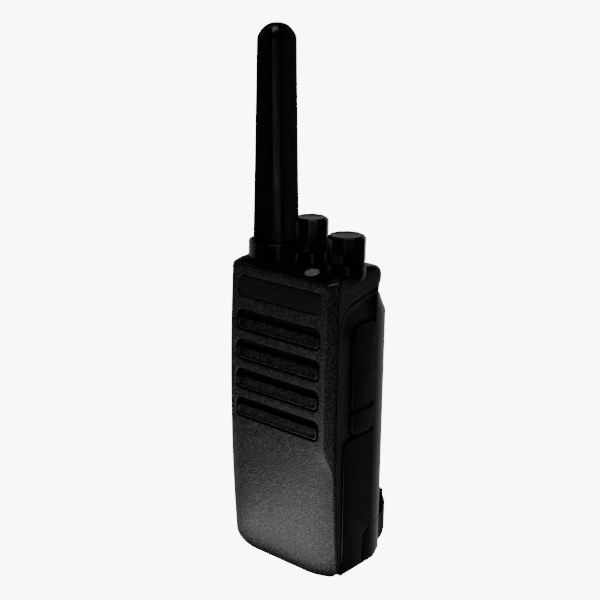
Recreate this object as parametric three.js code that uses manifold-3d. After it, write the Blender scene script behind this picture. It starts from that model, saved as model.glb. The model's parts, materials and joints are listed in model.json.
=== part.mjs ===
// Portable two-way radio: housing, controls, antenna, accessory cover, battery pack and belt clip.
// Millimetres. X to the radio's left-to-right as it faces forward (-Y), +Z up.
// The origin is on the flat bottom that it stands on, midway between the sides.

import * as THREE from 'three';
import { mergeVertices } from 'three/addons/utils/BufferGeometryUtils.js';
import Module from 'manifold-3d';

const wasm = await Module();
wasm.setup();

// ---------------------------------------------------------------- driving dimensions
const GAP = 0.3; // clearance between pieces that meet

const HALF_WIDTH = 28;
const FRONT = -20; // foremost plane of the bowed front
const BOW = 0.00064; // how fast the front falls back away from BOW_HEIGHT
const BOW_HEIGHT = 74.5;
const CHAMFER = 3.2; // front-to-side chamfer
const WALL = 2.5;
const FRONT_WALL = 2.2;
const CASE_TOP = 128; // the deck that the controls stand on
const SHOULDER = 6; // rounding between the deck and the sides
const FOOT_CORNER = 6; // rounding between the bottom and the sides
const CHIN_TOP = 59.5; // the lower front broadens below this height
const CHIN_FULL = 47.5;

const LOW_BACK = -10.5; // back of the thin lower part of the housing
const SHELF = 59.8; // where the housing steps back over the battery
const HIGH_BACK = 10; // back of the deep upper part
const CAP_BASE = 117.3; // underside of the rear lip of the top cap
const CAP_BACK = 16;
const CAP_RADIUS = 8;
const PLATE = 1.8; // chassis wall

const PACK_BACK = 20.5; // battery pack's flat back
const PACK_TOP = 117;
const PACK_CORNER_X = 8; // the pack's rear corners are quarter ellipses
const PACK_CORNER_Y = 14;
const HEEL_FRONT = 3.4;
const HEEL_TOP = 17;
const HEEL_BACK = 24.3;
const HEEL_HALF_WIDTH = 24;

const SLOT_COUNT = 4;
const SLOT_TOP_HEIGHT = 103.1;
const SLOT_PITCH = 12.57;
const SLOT_HALF_WIDTH = 22.1;
const SLOT_HEIGHT = 8.8;
const SLOT_DEPTH = 1.5;
const NAME_PLATE = { halfWidth: 21.5, low: 112.7, high: 121.5, radius: 2.5, recess: 0.8 };

const CONTROL_Y = -2; // the antenna and both knobs stand on one line
const ANTENNA = { x: -16.3, bottom: 132, top: 219.7, half: 8, cut: 2.9, tipHalfX: 5.85, tipHalfY: 7.35 };
const COLLAR = { radius: 11.2, top: 134, recess: 9.8, bore: 5.1 };
const CHANNEL = { x: 2.2, boss: 7, bossTop: 132.4, low: 132.9, high: 146, radius: 7.1 };
const VOLUME = { x: 20.1, boss: 7.9, bossTop: 130.4, low: 131, high: 141.6, radius: 7.8 };
const KNOB_SIDES = 10;
const KNOB_TURN = 47.5; // degrees from the front to the middle of one flat
const SHAFT_RADIUS = 3;
const LENS = { x: 12.3, y: -13.1, halfX: 3.2, halfY: 2.5, top: 127.6 };

const COVER = { front: -5.4, back: 8.3, low: 60.4, high: 107, fold: 71.5, inner: 26.7, outer: 28.3 };
const PTT = { front: -7.7, back: 3.7, low: 80.3, high: 105.7, outer: -28.8, inner: -26 };
const SIDE_KEYS = [
  { name: 'side_key_upper', low: 70.5, high: 77.5 },
  { name: 'side_key_lower', low: 62, high: 69 },
];
const SPEAKER = { z: 84.2, radius: 18, front: -16, back: -8 };
const CLIP = {
  halfWidth: 9, pinY: 25, pinZ: 98, pinRadius: 1.2, springRadius: 2.1, plate: 2, low: 44, high: 110, back: 27.6,
};

const SMALL_ROUND = 20; // facets round a small circle
const LARGE_ROUND = 36;

// ---------------------------------------------------------------- materials
const finish = (color, roughness, metalness = 0) =>
  new THREE.MeshStandardMaterial({ color, roughness, metalness });
const MATERIAL = {
  case: finish(0x2b2b2d, 0.75),
  satin: finish(0x19191b, 0.45),
  rubber: finish(0x141415, 0.6),
  plate: finish(0x1d1a19, 0.65),
  cloth: finish(0x0d0d0e, 0.95),
  lens: finish(0xc3cad8, 0.2),
  castMetal: finish(0x8d9094, 0.5, 0.9),
  steel: finish(0xb4b6b8, 0.3, 1),
  brass: finish(0xb69a52, 0.35, 1),
  board: finish(0x1c5a38, 0.55),
  cone: finish(0x2a2622, 0.85),
  cell: finish(0x355d8c, 0.45),
  seal: finish(0x3a3c40, 0.8),
};

// ---------------------------------------------------------------- solids
const solidOf = (geometry) => {
  geometry.deleteAttribute('normal');
  geometry.deleteAttribute('uv');
  const merged = mergeVertices(geometry, 1e-4);
  return new wasm.Manifold(
    new wasm.Mesh({
      numProp: 3,
      vertProperties: new Float32Array(merged.attributes.position.array),
      triVerts: new Uint32Array(merged.index.array),
    }),
  );
};

const geometryOf = (solid) => {
  const { vertProperties, triVerts } = solid.getMesh();
  const geometry = new THREE.BufferGeometry();
  geometry.setAttribute('position', new THREE.BufferAttribute(vertProperties, 3));
  geometry.setIndex(new THREE.BufferAttribute(triVerts, 1));
  geometry.computeVertexNormals();
  return geometry;
};

const union = (...solids) => solids.reduce((all, solid) => all.add(solid));
const cut = (solid, ...tools) => tools.reduce((rest, tool) => rest.subtract(tool), solid);

const polygon = (points) => new THREE.Shape(points.map(([u, v]) => new THREE.Vector2(u, v)));

const roundedRectangle = (u0, u1, v0, v1, radius) => {
  const shape = new THREE.Shape();
  shape.absarc(u1 - radius, v0 + radius, radius, -Math.PI / 2, 0);
  shape.absarc(u1 - radius, v1 - radius, radius, 0, Math.PI / 2);
  shape.absarc(u0 + radius, v1 - radius, radius, Math.PI / 2, Math.PI);
  shape.absarc(u0 + radius, v0 + radius, radius, Math.PI, 1.5 * Math.PI);
  shape.closePath();
  return shape;
};

const extruded = (shape, depth, curveSegments = 6, steps = 1) =>
  new THREE.ExtrudeGeometry(shape, { depth, bevelEnabled: false, curveSegments, steps });

// A shape drawn in X and Y, raised from z0 to z1.
const alongZ = (shape, z0, z1, curveSegments, steps) =>
  extruded(shape, z1 - z0, curveSegments, steps).translate(0, 0, z0);

// A shape drawn in Y and Z, carried from x0 to x1.
const alongX = (shape, x0, x1, curveSegments) => {
  const turn = new THREE.Matrix4().makeBasis(
    new THREE.Vector3(0, 1, 0), new THREE.Vector3(0, 0, 1), new THREE.Vector3(1, 0, 0));
  return extruded(shape, x1 - x0, curveSegments).applyMatrix4(turn).translate(x0, 0, 0);
};

// A shape drawn in X and Z, carried from y0 to y1.
const alongY = (shape, y0, y1, curveSegments) => {
  const turn = new THREE.Matrix4().makeBasis(
    new THREE.Vector3(1, 0, 0), new THREE.Vector3(0, 0, 1), new THREE.Vector3(0, -1, 0));
  return extruded(shape, y1 - y0, curveSegments).applyMatrix4(turn).translate(0, y1, 0);
};

const box = (x0, x1, y0, y1, z0, z1) =>
  solidOf(new THREE.BoxGeometry(x1 - x0, y1 - y0, z1 - z0)
    .translate((x0 + x1) / 2, (y0 + y1) / 2, (z0 + z1) / 2));

const cylinderZ = (radius, x, y, z0, z1, sides = SMALL_ROUND) =>
  solidOf(new THREE.CylinderGeometry(radius, radius, z1 - z0, sides)
    .rotateX(Math.PI / 2).translate(x, y, (z0 + z1) / 2));

const cylinderX = (radius, x0, x1, y, z, sides = SMALL_ROUND) =>
  solidOf(new THREE.CylinderGeometry(radius, radius, x1 - x0, sides)
    .rotateZ(Math.PI / 2).translate((x0 + x1) / 2, y, z));

const cylinderY = (radius, x, y0, y1, z, sides = SMALL_ROUND) =>
  solidOf(new THREE.CylinderGeometry(radius, radius, y1 - y0, sides)
    .translate(x, (y0 + y1) / 2, z));

// A turned piece on an axis that points along -Y: each profile point is [radius, distance forward].
const turnedY = (profile, x, y, z, sides) =>
  solidOf(new THREE.LatheGeometry(profile.map(([r, h]) => new THREE.Vector2(r, h)), sides)
    .rotateX(Math.PI).translate(x, y, z));

const mirrored = (solid) => solid.mirror([1, 0, 0]);

const model = new THREE.Group();
const add = (name, solid, material) => {
  const mesh = new THREE.Mesh(geometryOf(solid), material);
  mesh.name = name;
  model.add(mesh);
};

// ---------------------------------------------------------------- shared outlines
const bow = (z) => BOW * (z - BOW_HEIGHT) ** 2;
const frontAt = (z) => FRONT + bow(z);
const smooth = (t) => t * t * (3 - 2 * t);
const chinShare = (z) => smooth(Math.min(1, Math.max(0, (CHIN_TOP - z) / (CHIN_TOP - CHIN_FULL))));

// The housing's section: chamfered front corners, round rear corners, drawn inset from the outer skin.
const housingSection = (inset, frontInset) => {
  const half = HALF_WIDTH - inset;
  const front = FRONT + frontInset;
  const back = CAP_BACK - inset;
  const radius = CAP_RADIUS - inset;
  const shape = new THREE.Shape();
  shape.moveTo(-(half - CHAMFER), front);
  shape.lineTo(half - CHAMFER, front);
  shape.lineTo(half - CHAMFER / 2, front + CHAMFER / 2);
  shape.lineTo(half, front + CHAMFER);
  shape.absarc(half - radius, back - radius, radius, 0, Math.PI / 2);
  shape.absarc(-(half - radius), back - radius, radius, Math.PI / 2, Math.PI);
  shape.lineTo(-half, front + CHAMFER);
  shape.lineTo(-(half - CHAMFER / 2), front + CHAMFER / 2);
  shape.closePath();
  return shape;
};

// The section carried up the housing, with its front bowed and its chin broadened.
const housingColumn = (inset, frontInset, z0, z1) => {
  const geometry = alongZ(housingSection(inset, frontInset), z0, z1, 5, 16);
  const position = geometry.attributes.position;
  const creaseX = HALF_WIDTH - inset - CHAMFER;
  for (let i = 0; i < position.count; i += 1) {
    const [x, y, z] = [position.getX(i), position.getY(i), position.getZ(i)];
    if (y > FRONT + frontInset + CHAMFER + 0.01) continue;
    const broad = chinShare(z);
    const outward = Math.max(0, Math.abs(x) - creaseX) / CHAMFER;
    const swell = 1.1 * broad * (1 - outward) * Math.min(1, Math.abs(x) / creaseX);
    const drop = 0.25 * broad * Math.sin(Math.PI * outward);
    position.setXYZ(i, x + Math.sign(x) * swell, y + bow(z) - drop + 0.9 * swell, z);
  }
  return solidOf(geometry);
};

// The battery pack's section: straight sides and quarter-ellipse rear corners.
const packSection = (inset, front) => {
  const half = HALF_WIDTH - inset;
  const cornerX = PACK_CORNER_X - inset / 2;
  const cornerY = PACK_CORNER_Y - inset / 2;
  const back = PACK_BACK - inset;
  const shape = new THREE.Shape();
  shape.moveTo(-half, front);
  shape.lineTo(half, front);
  shape.absellipse(half - cornerX, back - cornerY, cornerX, cornerY, 0, Math.PI / 2);
  shape.absellipse(-(half - cornerX), back - cornerY, cornerX, cornerY, Math.PI / 2, Math.PI);
  shape.closePath();
  return shape;
};

// ---------------------------------------------------------------- housing
const slotHeights = Array.from({ length: SLOT_COUNT }, (_, i) => SLOT_TOP_HEIGHT - i * SLOT_PITCH);

const housingEnvelope = () => {
  const side = polygon([
    [FRONT - 1, -1], [LOW_BACK, -1], [LOW_BACK, SHELF - 2.7], [LOW_BACK + 2.7, SHELF], [HIGH_BACK, SHELF],
    [HIGH_BACK, CAP_BASE], [14.3, CAP_BASE], [15.3, 119.5], [CAP_BACK + 1, 123], [14.8, 125.9],
    [12, CASE_TOP - 0.4], [7, CASE_TOP + 0.3], [-9, CASE_TOP + 0.2], [-13, CASE_TOP - 0.8],
    [-16, CASE_TOP - 1.8], [-17.8, CASE_TOP - 2.7], [FRONT - 1, 124],
  ]);
  const face = new THREE.Shape();
  const foot = HALF_WIDTH - FOOT_CORNER;
  const shoulder = HALF_WIDTH - SHOULDER;
  face.moveTo(-foot, 0);
  face.lineTo(foot, 0);
  face.absarc(foot, FOOT_CORNER, FOOT_CORNER, -Math.PI / 2, 0);
  face.absarc(shoulder, CASE_TOP - SHOULDER, SHOULDER, 0, Math.PI / 2);
  face.lineTo(0, CASE_TOP + 0.4);
  face.absarc(-shoulder, CASE_TOP - SHOULDER, SHOULDER, Math.PI / 2, Math.PI);
  face.absarc(-foot, FOOT_CORNER, FOOT_CORNER, Math.PI, 1.5 * Math.PI);
  face.closePath();
  return housingColumn(0, 0, 0, CASE_TOP + 1)
    .intersect(solidOf(alongX(side, -HALF_WIDTH - 1, HALF_WIDTH + 1)))
    .intersect(solidOf(alongY(face, FRONT - 1, CAP_BACK + 1, 4)));
};

const housingHollow = () => {
  const side = polygon([
    [FRONT, WALL - 0.3], [LOW_BACK + 1, WALL - 0.3], [LOW_BACK + 1, SHELF - 4], [HIGH_BACK + 1, SHELF - 4],
    [HIGH_BACK + 1, CAP_BASE - 1], [14.4, CAP_BASE - 1], [14.4, 122], [12.5, 123.4], [-14.5, 123.4], [FRONT, 122],
  ]);
  return housingColumn(WALL, FRONT_WALL, WALL - 0.3, 123.4)
    .add(box(-(HALF_WIDTH - WALL), HALF_WIDTH - WALL, -12, 8, WALL - 0.3, 120))
    .intersect(solidOf(alongX(side, -HALF_WIDTH, HALF_WIDTH)));
};

// A slot's floor slopes forward from a deep top edge to a shallow bottom edge.
const slotPocket = (z) => {
  const top = z + SLOT_HEIGHT / 2;
  const bottom = z - SLOT_HEIGHT / 2;
  const face = frontAt(z);
  const wedge = polygon([[face - 1.5, bottom], [face + 0.3, bottom], [face + SLOT_DEPTH, top - 2.6],
    [face + SLOT_DEPTH, top], [face - 1.5, top]]);
  const outline = roundedRectangle(-SLOT_HALF_WIDTH, SLOT_HALF_WIDTH, bottom, top, 2.8);
  return solidOf(alongX(wedge, -SLOT_HALF_WIDTH, SLOT_HALF_WIDTH))
    .intersect(solidOf(alongY(outline, face - 2, face + 2, 4)));
};

const slotOpening = (z) => {
  const outline = roundedRectangle(-19.5, 19.5, z + 1.9, z + 3.7, 0.85);
  return solidOf(alongY(outline, FRONT - 1, FRONT + 6, 3));
};

const namePlateRecess = () => {
  const { halfWidth, low, high, radius, recess } = NAME_PLATE;
  const face = frontAt((low + high) / 2);
  return solidOf(alongY(roundedRectangle(-halfWidth, halfWidth, low, high, radius), face - 2, face + recess, 4));
};

const sideOpenings = () => {
  const wallIn = -(HALF_WIDTH - WALL) + 1;
  const ptt = box(-HALF_WIDTH - 1, wallIn, PTT.front - GAP, PTT.back + GAP, PTT.low - GAP, PTT.high + GAP);
  const keys = SIDE_KEYS.map((key) => box(-HALF_WIDTH - 1, wallIn, -6.3, 2.3, key.low - GAP, key.high + GAP));
  const pocket = solidOf(alongX(
    roundedRectangle(COVER.front - GAP, COVER.back + GAP, SHELF - 6, COVER.high + GAP, 4),
    COVER.inner - GAP, HALF_WIDTH + 2, 4));
  const jacks = [[92, 2.6], [84, 2.1]].map(([z, r]) => cylinderX(r, HALF_WIDTH - 5, HALF_WIDTH, 2, z));
  return union(ptt, ...keys, pocket, ...jacks);
};

const frontCase = () => {
  const collar = cylinderZ(COLLAR.radius, ANTENNA.x, CONTROL_Y, 122, COLLAR.top, LARGE_ROUND);
  const bosses = [CHANNEL, VOLUME].map(({ x, boss, bossTop }) =>
    cylinderZ(boss, x, CONTROL_Y, 122, bossTop, LARGE_ROUND));
  const recess = cylinderZ(COLLAR.recess, ANTENNA.x, CONTROL_Y, ANTENNA.bottom - GAP, 140, LARGE_ROUND);
  const bore = cylinderZ(COLLAR.bore, ANTENNA.x, CONTROL_Y, 110, 140);
  const shaftHoles = [CHANNEL, VOLUME].map(({ x }) => cylinderZ(4.5, x, CONTROL_Y, 110, 140));
  const lensHole = solidOf(new THREE.CylinderGeometry(1, 1, 10, SMALL_ROUND).rotateX(Math.PI / 2)
    .scale(LENS.halfX + GAP, LENS.halfY + GAP, 1).translate(LENS.x, LENS.y, 125));
  const screwBosses = [-19, 19].map((x) => cylinderY(3, x, -15.4, -12.6, 9));
  const screwHoles = [-19, 19].map((x) => cylinderY(1.5, x, -15, -10, 9));
  const shell = union(
    cut(union(housingEnvelope(), collar, ...bosses), housingHollow()), ...screwBosses);
  return cut(shell, recess, bore, ...shaftHoles, lensHole, ...screwHoles, namePlateRecess(), sideOpenings(),
    ...slotHeights.map(slotPocket), ...slotHeights.map(slotOpening));
};
add('front_case', frontCase(), MATERIAL.case);

const namePlate = () => {
  const { halfWidth, low, high, radius, recess } = NAME_PLATE;
  const face = frontAt((low + high) / 2);
  const inset = GAP;
  return solidOf(alongY(
    roundedRectangle(-halfWidth + inset, halfWidth - inset, low + inset, high - inset, radius - inset),
    face + 0.05, face + recess - 0.1, 4));
};
add('name_plate', namePlate(), MATERIAL.plate);
add('speaker_cloth', box(-21.5, 21.5, -16.8, -16.4, 60.5, 108.5), MATERIAL.cloth);

const lens = () => {
  const profile = [[0, 0], [1, 0], [1, 4.2], [0.75, 4.75], [0, 5]];
  return solidOf(new THREE.LatheGeometry(profile.map(([r, h]) => new THREE.Vector2(r, h)), SMALL_ROUND)
    .rotateX(Math.PI / 2).scale(LENS.halfX, LENS.halfY, 1).translate(LENS.x, LENS.y, LENS.top - 5));
};
add('status_lens', lens(), MATERIAL.lens);

// ---------------------------------------------------------------- inside the housing
const speakerFrame = () => {
  const outer = turnedY([[0, 0], [10, 0], [18, 4.6], [18, 5.6], [0, 5.6]], 0, SPEAKER.front + 5.6, SPEAKER.z, LARGE_ROUND);
  const bowl = turnedY([[0, 1], [9, 1], [16.6, 5], [16.6, 7], [0, 7]], 0, SPEAKER.front + 5.6, SPEAKER.z, LARGE_ROUND);
  return cut(outer, bowl, cylinderY(4, 0, -12, -9, SPEAKER.z));
};
add('speaker_frame', speakerFrame(), MATERIAL.steel);
add('speaker_cone', turnedY([[0, 0], [5, 0], [15.8, 3.3], [15.8, 3.9], [5, 0.7], [0, 0.7]],
  0, SPEAKER.front + 4, SPEAKER.z, LARGE_ROUND), MATERIAL.cone);
add('speaker_magnet', cylinderY(8.5, 0, SPEAKER.front + 5.9, SPEAKER.back, SPEAKER.z, LARGE_ROUND), MATERIAL.castMetal);
add('speaker_bracket', cut(box(-22, 22, -8.6, -7.4, SPEAKER.z - 4, SPEAKER.z + 4),
  cylinderY(8.8, 0, -9, -7, SPEAKER.z)).add(box(-22, 22, -7.4, -6.6, SPEAKER.z - 4, SPEAKER.z + 4)), MATERIAL.steel);
add('microphone', cylinderY(2.5, -21, -16, -13, 66), MATERIAL.castMetal);

const chassis = () => {
  const plate = polygon([
    [LOW_BACK - PLATE, 3.3], [LOW_BACK, 3.3], [LOW_BACK, SHELF - 2.7], [LOW_BACK + 2.7, SHELF], [HIGH_BACK, SHELF],
    [HIGH_BACK, CAP_BASE], [12.2, CAP_BASE], [12.2, CAP_BASE + PLATE], [HIGH_BACK - PLATE, CAP_BASE + PLATE],
    [HIGH_BACK - PLATE, SHELF + PLATE], [LOW_BACK - PLATE, SHELF + PLATE],
  ]);
  const posts = [[-18, 72], [15, 72], [-18, 106], [15, 106]].map(([x, z]) => cylinderY(2, x, 3.9, 8.5, z, 12));
  const holes = [-19, 19].map((x) => cylinderY(1.6, x, -13, -10, 9));
  const sinks = [-19, 19].map((x) => cylinderY(2.7, x, -11.7, -10, 9));
  const window = box(-9.3, 9.3, -13, -10, 29.7, 38.3);
  const edge = solidOf(alongZ(housingSection(HALF_WIDTH - 24.4, 0), 0, CASE_TOP, 5));
  return cut(union(solidOf(alongX(plate, -24.4, 24.4)).intersect(edge), ...posts), ...holes, ...sinks, window);
};
add('chassis', chassis(), MATERIAL.castMetal);

const chassisSeal = () => {
  const strip = polygon([
    [-11.8, 2.5], [-11, 2.5], [-11, SHELF - 0.3], [HIGH_BACK - 0.5, SHELF + 0.5],
    [HIGH_BACK - 0.5, CAP_BASE + 3], [HIGH_BACK - 1.3, CAP_BASE + 3], [HIGH_BACK - 1.3, SHELF + 1.3],
    [-11.8, SHELF + 1.3],
  ]);
  const side = solidOf(alongX(strip, 24.7, 25.2));
  return union(side, mirrored(side), box(-25, 25, -11.8, -11, 2.5, 3),
    box(-25, 25, HIGH_BACK - 1.3, HIGH_BACK - 0.5, CAP_BASE + 2.2, CAP_BASE + 3));
};
add('chassis_seal', chassisSeal(), MATERIAL.seal);

add('main_board', box(-23, 18.8, 2.4, 3.6, 64, 112), MATERIAL.board);
add('rf_shield', cut(box(-21, 17, -2.4, 2.1, 66, 108), box(-20.4, 16.4, -1.8, 3, 66.6, 107.4)), MATERIAL.steel);
add('power_amplifier', box(-12, 4, 3.9, 7.9, 76, 92), MATERIAL.castMetal);
add('contact_block', union(box(-9, 9, -13.6, -11.4, 30, 38),
  ...[-6, 0, 6].map((x) => box(x - 1, x + 1, -11.4, -10.6, 31.5, 36.5))), MATERIAL.satin);

const control = ({ x, bossTop }) => union(
  box(x - 5, x + 5, CONTROL_Y - 5, CONTROL_Y + 5, 114.5, 123.1),
  cylinderZ(4.2, x, CONTROL_Y, 120, bossTop + 2.2)).subtract(
  cylinderZ(SHAFT_RADIUS + GAP, x, CONTROL_Y, 116, 150));
const panelNut = ({ x, bossTop }) => cut(
  cylinderZ(5.3, x, CONTROL_Y, bossTop + GAP, bossTop + 2, 6),
  cylinderZ(4.2 + GAP - 0.1, x, CONTROL_Y, 110, 150));
add('channel_switch', control(CHANNEL), MATERIAL.castMetal);
add('channel_switch_nut', panelNut(CHANNEL), MATERIAL.brass);
add('volume_control', control(VOLUME), MATERIAL.castMetal);
add('volume_control_nut', panelNut(VOLUME), MATERIAL.brass);

add('antenna_socket', cut(cylinderZ(4.8, ANTENNA.x, CONTROL_Y, 117, 131.4),
  cylinderZ(SHAFT_RADIUS + GAP, ANTENNA.x, CONTROL_Y, 118.5, 140)), MATERIAL.brass);

add('jack_block', cut(box(19.5, 25.2, -4, 7.5, 78, 98),
  cylinderX(1.9, 21, 26, 2, 92), cylinderX(1.4, 21, 26, 2, 84)), MATERIAL.satin);
add('side_key_board', box(-24.2, -23.4, -8, 1.8, 63, 106), MATERIAL.board);
[-19, 19].forEach((x, i) => add(`chassis_screw_${i + 1}`,
  union(cylinderY(2.3, x, -11.4, -10.7, 9), cylinderY(1.2, x, -14.7, -11, 9)), MATERIAL.steel));

// ---------------------------------------------------------------- side keys
const key = (front, back, low, high, outer) =>
  solidOf(alongX(roundedRectangle(front, back, low, high, 2.2), outer, PTT.inner, 4));
add('ptt_button', key(PTT.front, PTT.back, PTT.low, PTT.high, PTT.outer), MATERIAL.rubber);
SIDE_KEYS.forEach(({ name, low, high }) => add(name, key(-6, 2, low, high, -28.5), MATERIAL.rubber));

// ---------------------------------------------------------------- accessory cover
const coverSection = (low, high) => {
  const whole = roundedRectangle(COVER.front, COVER.back, COVER.low, COVER.high, 3.7);
  return solidOf(alongX(whole, COVER.inner, COVER.outer, 5))
    .intersect(box(COVER.inner - 1, COVER.outer + 1, COVER.front - 1, COVER.back + 1, low, high));
};
add('accessory_cover', coverSection(COVER.fold + 0.5, COVER.high + 1), MATERIAL.rubber);
add('accessory_cover_anchor', coverSection(COVER.low - 1, COVER.fold - 0.5), MATERIAL.rubber);

// ---------------------------------------------------------------- knobs
const knobPrism = (radius, z0, z1, topRadius = radius) =>
  new THREE.CylinderGeometry(topRadius, radius, z1 - z0, KNOB_SIDES)
    .rotateX(Math.PI / 2).rotateZ(THREE.MathUtils.degToRad(KNOB_TURN + 180 / KNOB_SIDES))
    .translate(0, 0, (z0 + z1) / 2);

const knob = ({ x, low, high, radius }) => {
  const chamfer = 1.1;
  const body = union(
    solidOf(knobPrism(radius, low, high - chamfer)),
    solidOf(knobPrism(radius, high - chamfer, high, radius - chamfer)),
  ).translate([x, CONTROL_Y, 0]);
  return cut(body, cylinderZ(5.8, x, CONTROL_Y, low - 1, low + 2.2),
    cylinderZ(SHAFT_RADIUS + GAP, x, CONTROL_Y, low, high - 2));
};
const shaft = ({ x, high }) => cylinderZ(SHAFT_RADIUS, x, CONTROL_Y, 116.4, high - 2.4);
add('channel_knob', knob(CHANNEL), MATERIAL.satin);
add('channel_shaft', shaft(CHANNEL), MATERIAL.steel);
add('volume_knob', knob(VOLUME), MATERIAL.satin);
add('volume_shaft', shaft(VOLUME), MATERIAL.steel);

// ---------------------------------------------------------------- antenna
const antennaSection = () => {
  const { half, cut: corner } = ANTENNA;
  return polygon([
    [-(half - corner), -half], [half - corner, -half], [half, -(half - corner)], [half, half - corner],
    [half - corner, half], [-(half - corner), half], [-half, half - corner], [-half, -(half - corner)],
  ]);
};

const antennaSheath = () => {
  const { x, bottom, top, half, tipHalfX, tipHalfY } = ANTENNA;
  const crown = 5; // the rounded tip
  const geometry = alongZ(antennaSection(), bottom, top, 1, 24);
  const position = geometry.attributes.position;
  for (let i = 0; i < position.count; i += 1) {
    const z = position.getZ(i);
    const rise = (z - bottom) / (top - bottom);
    const close = Math.max(0, (z - (top - crown)) / crown);
    const round = Math.sqrt(1 - 0.8 * close * close);
    position.setX(i, x + position.getX(i) * (1 + (tipHalfX / half - 1) * rise) * round);
    position.setY(i, CONTROL_Y + position.getY(i) * (1 + (tipHalfY / half - 1) * rise) * round);
  }
  return cut(solidOf(geometry), cylinderZ(SHAFT_RADIUS + GAP, x, CONTROL_Y, bottom - 1, 143),
    cylinderZ(2, x, CONTROL_Y, 140, 207, 12));
};
add('antenna_sheath', antennaSheath(), MATERIAL.satin);
add('antenna_stud', cylinderZ(SHAFT_RADIUS, ANTENNA.x, CONTROL_Y, 119, 142.6), MATERIAL.brass);
add('antenna_coil', cylinderZ(1.7, ANTENNA.x, CONTROL_Y, 142.9, 206, 12), MATERIAL.steel);

// ---------------------------------------------------------------- battery pack
const packShell = () => {
  const side = polygon([
    [LOW_BACK + GAP, 0], [HEEL_FRONT - GAP, 0], [HEEL_FRONT - GAP, 13.2], [8.1, HEEL_TOP + GAP],
    [PACK_BACK + 1, HEEL_TOP + GAP], [PACK_BACK + 1, 108.4], [14.1, PACK_TOP], [HIGH_BACK + GAP, PACK_TOP],
    [HIGH_BACK + GAP, SHELF - GAP], [LOW_BACK + 2.9, SHELF - GAP], [LOW_BACK + GAP, SHELF - 2.9],
  ]);
  const outer = solidOf(alongZ(packSection(0, LOW_BACK + GAP), 0, PACK_TOP + 1, 8))
    .intersect(solidOf(alongX(side, -HALF_WIDTH, HALF_WIDTH)));
  const cellBay = box(-25.4, 25.4, LOW_BACK, 1.4, 2, 57.5)
    .add(box(-24.5, 24.5, 0, 16, HEEL_TOP + 2, 57.5));
  const upperBay = box(-24, 24, HIGH_BACK, 16, 62, 106);
  const ledge = box(-26.2, 26.2, LOW_BACK, LOW_BACK + 2.2, 1.4, 58)
    .add(box(-25, 25, HIGH_BACK, HIGH_BACK + 1.9, 61, 113));
  return cut(outer, cellBay, upperBay, ledge);
};
add('battery_shell', packShell(), MATERIAL.satin);

add('battery_lid', cut(box(-25.9, 25.9, LOW_BACK + GAP, LOW_BACK + 1.9, 1.7, 57.4),
  ...[-6, 0, 6].map((x) => box(x - 1.9, x + 1.9, LOW_BACK, LOW_BACK + 1.1, 30.6, 37.4))), MATERIAL.satin);
add('battery_upper_lid', box(-24.7, 24.7, HIGH_BACK + GAP, HIGH_BACK + 1.6, 61.3, 112.7), MATERIAL.satin);
['plus', 'sense', 'minus'].forEach((label, i) => {
  const x = -6 + 6 * i;
  add(`battery_contact_${label}`, box(x - 1.6, x + 1.6, LOW_BACK + 0.5, LOW_BACK + 0.9, 31, 37), MATERIAL.brass);
});
add('battery_cell_front', box(-23.5, 23.5, -8, 1, 3, 56.5), MATERIAL.cell);
add('battery_cell_rear', box(-23.5, 23.5, 1.7, 11.5, HEEL_TOP + 2.6, 56.5), MATERIAL.cell);
add('battery_board', box(-22, 22, 12, 15.4, 64, 104).subtract(box(-20, 20, 13.2, 16, 66, 102)), MATERIAL.board);

const packHeel = () => {
  const base = polygon([
    [HEEL_FRONT, 0], [4, 0], [10.3, 0.8], [13, 2.4], [15.4, 4.2], [18, 5], [PACK_BACK + 1, 6.3],
    [PACK_BACK + 1, HEEL_TOP], [8.2, HEEL_TOP], [HEEL_FRONT, 13],
  ]);
  const spur = polygon([
    [16, 5], [18, 5], [21.3, 6.6], [23.4, 8.8], [HEEL_BACK, 11.6], [HEEL_BACK, 25], [PACK_BACK + GAP, 35.2],
    [PACK_BACK + GAP, HEEL_TOP], [16, HEEL_TOP],
  ]);
  const foot = solidOf(alongZ(packSection(0, HEEL_FRONT), 0, HEEL_TOP, 8))
    .intersect(solidOf(alongX(base, -HALF_WIDTH, HALF_WIDTH)));
  const latchBay = box(-9.3, 9.3, 7.7, 18.3, -1, 9.3);
  return cut(union(foot, solidOf(alongX(spur, -HEEL_HALF_WIDTH, HEEL_HALF_WIDTH))), latchBay);
};
add('battery_heel', packHeel(), MATERIAL.satin);
add('battery_latch', union(box(-9, 9, 8, 15.6, 4.4, 9), box(-7, 7, 9, 11, 2.6, 4.6)), MATERIAL.satin);

// ---------------------------------------------------------------- belt clip
const clipBracket = () => {
  const base = box(-11, 11, PACK_BACK + GAP, PACK_BACK + 1.9, 90, 106);
  const ear = box(9.4, 11, PACK_BACK + 1, CLIP.pinY + 2, 94.5, 101.5);
  const pinHole = cylinderX(CLIP.pinRadius + GAP, -12, 12, CLIP.pinY, CLIP.pinZ);
  const screwHoles = [93, 103].map((z) => cylinderY(1.7, 0, 20, 30, z));
  return cut(union(base, ear, mirrored(ear)), pinHole, ...screwHoles);
};
add('clip_bracket', clipBracket(), MATERIAL.satin);
[93, 103].forEach((z, i) => add(`clip_screw_${i + 1}`, cylinderY(1.4, 0, 20.8, 22.6, z), MATERIAL.steel));
add('clip_pin', cylinderX(CLIP.pinRadius, -10.9, 10.9, CLIP.pinY, CLIP.pinZ), MATERIAL.steel);
add('clip_spring', cut(cylinderX(CLIP.springRadius, -4.4, 4.4, CLIP.pinY, CLIP.pinZ),
  cylinderX(CLIP.pinRadius + GAP, -5, 5, CLIP.pinY, CLIP.pinZ)), MATERIAL.steel);

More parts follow.
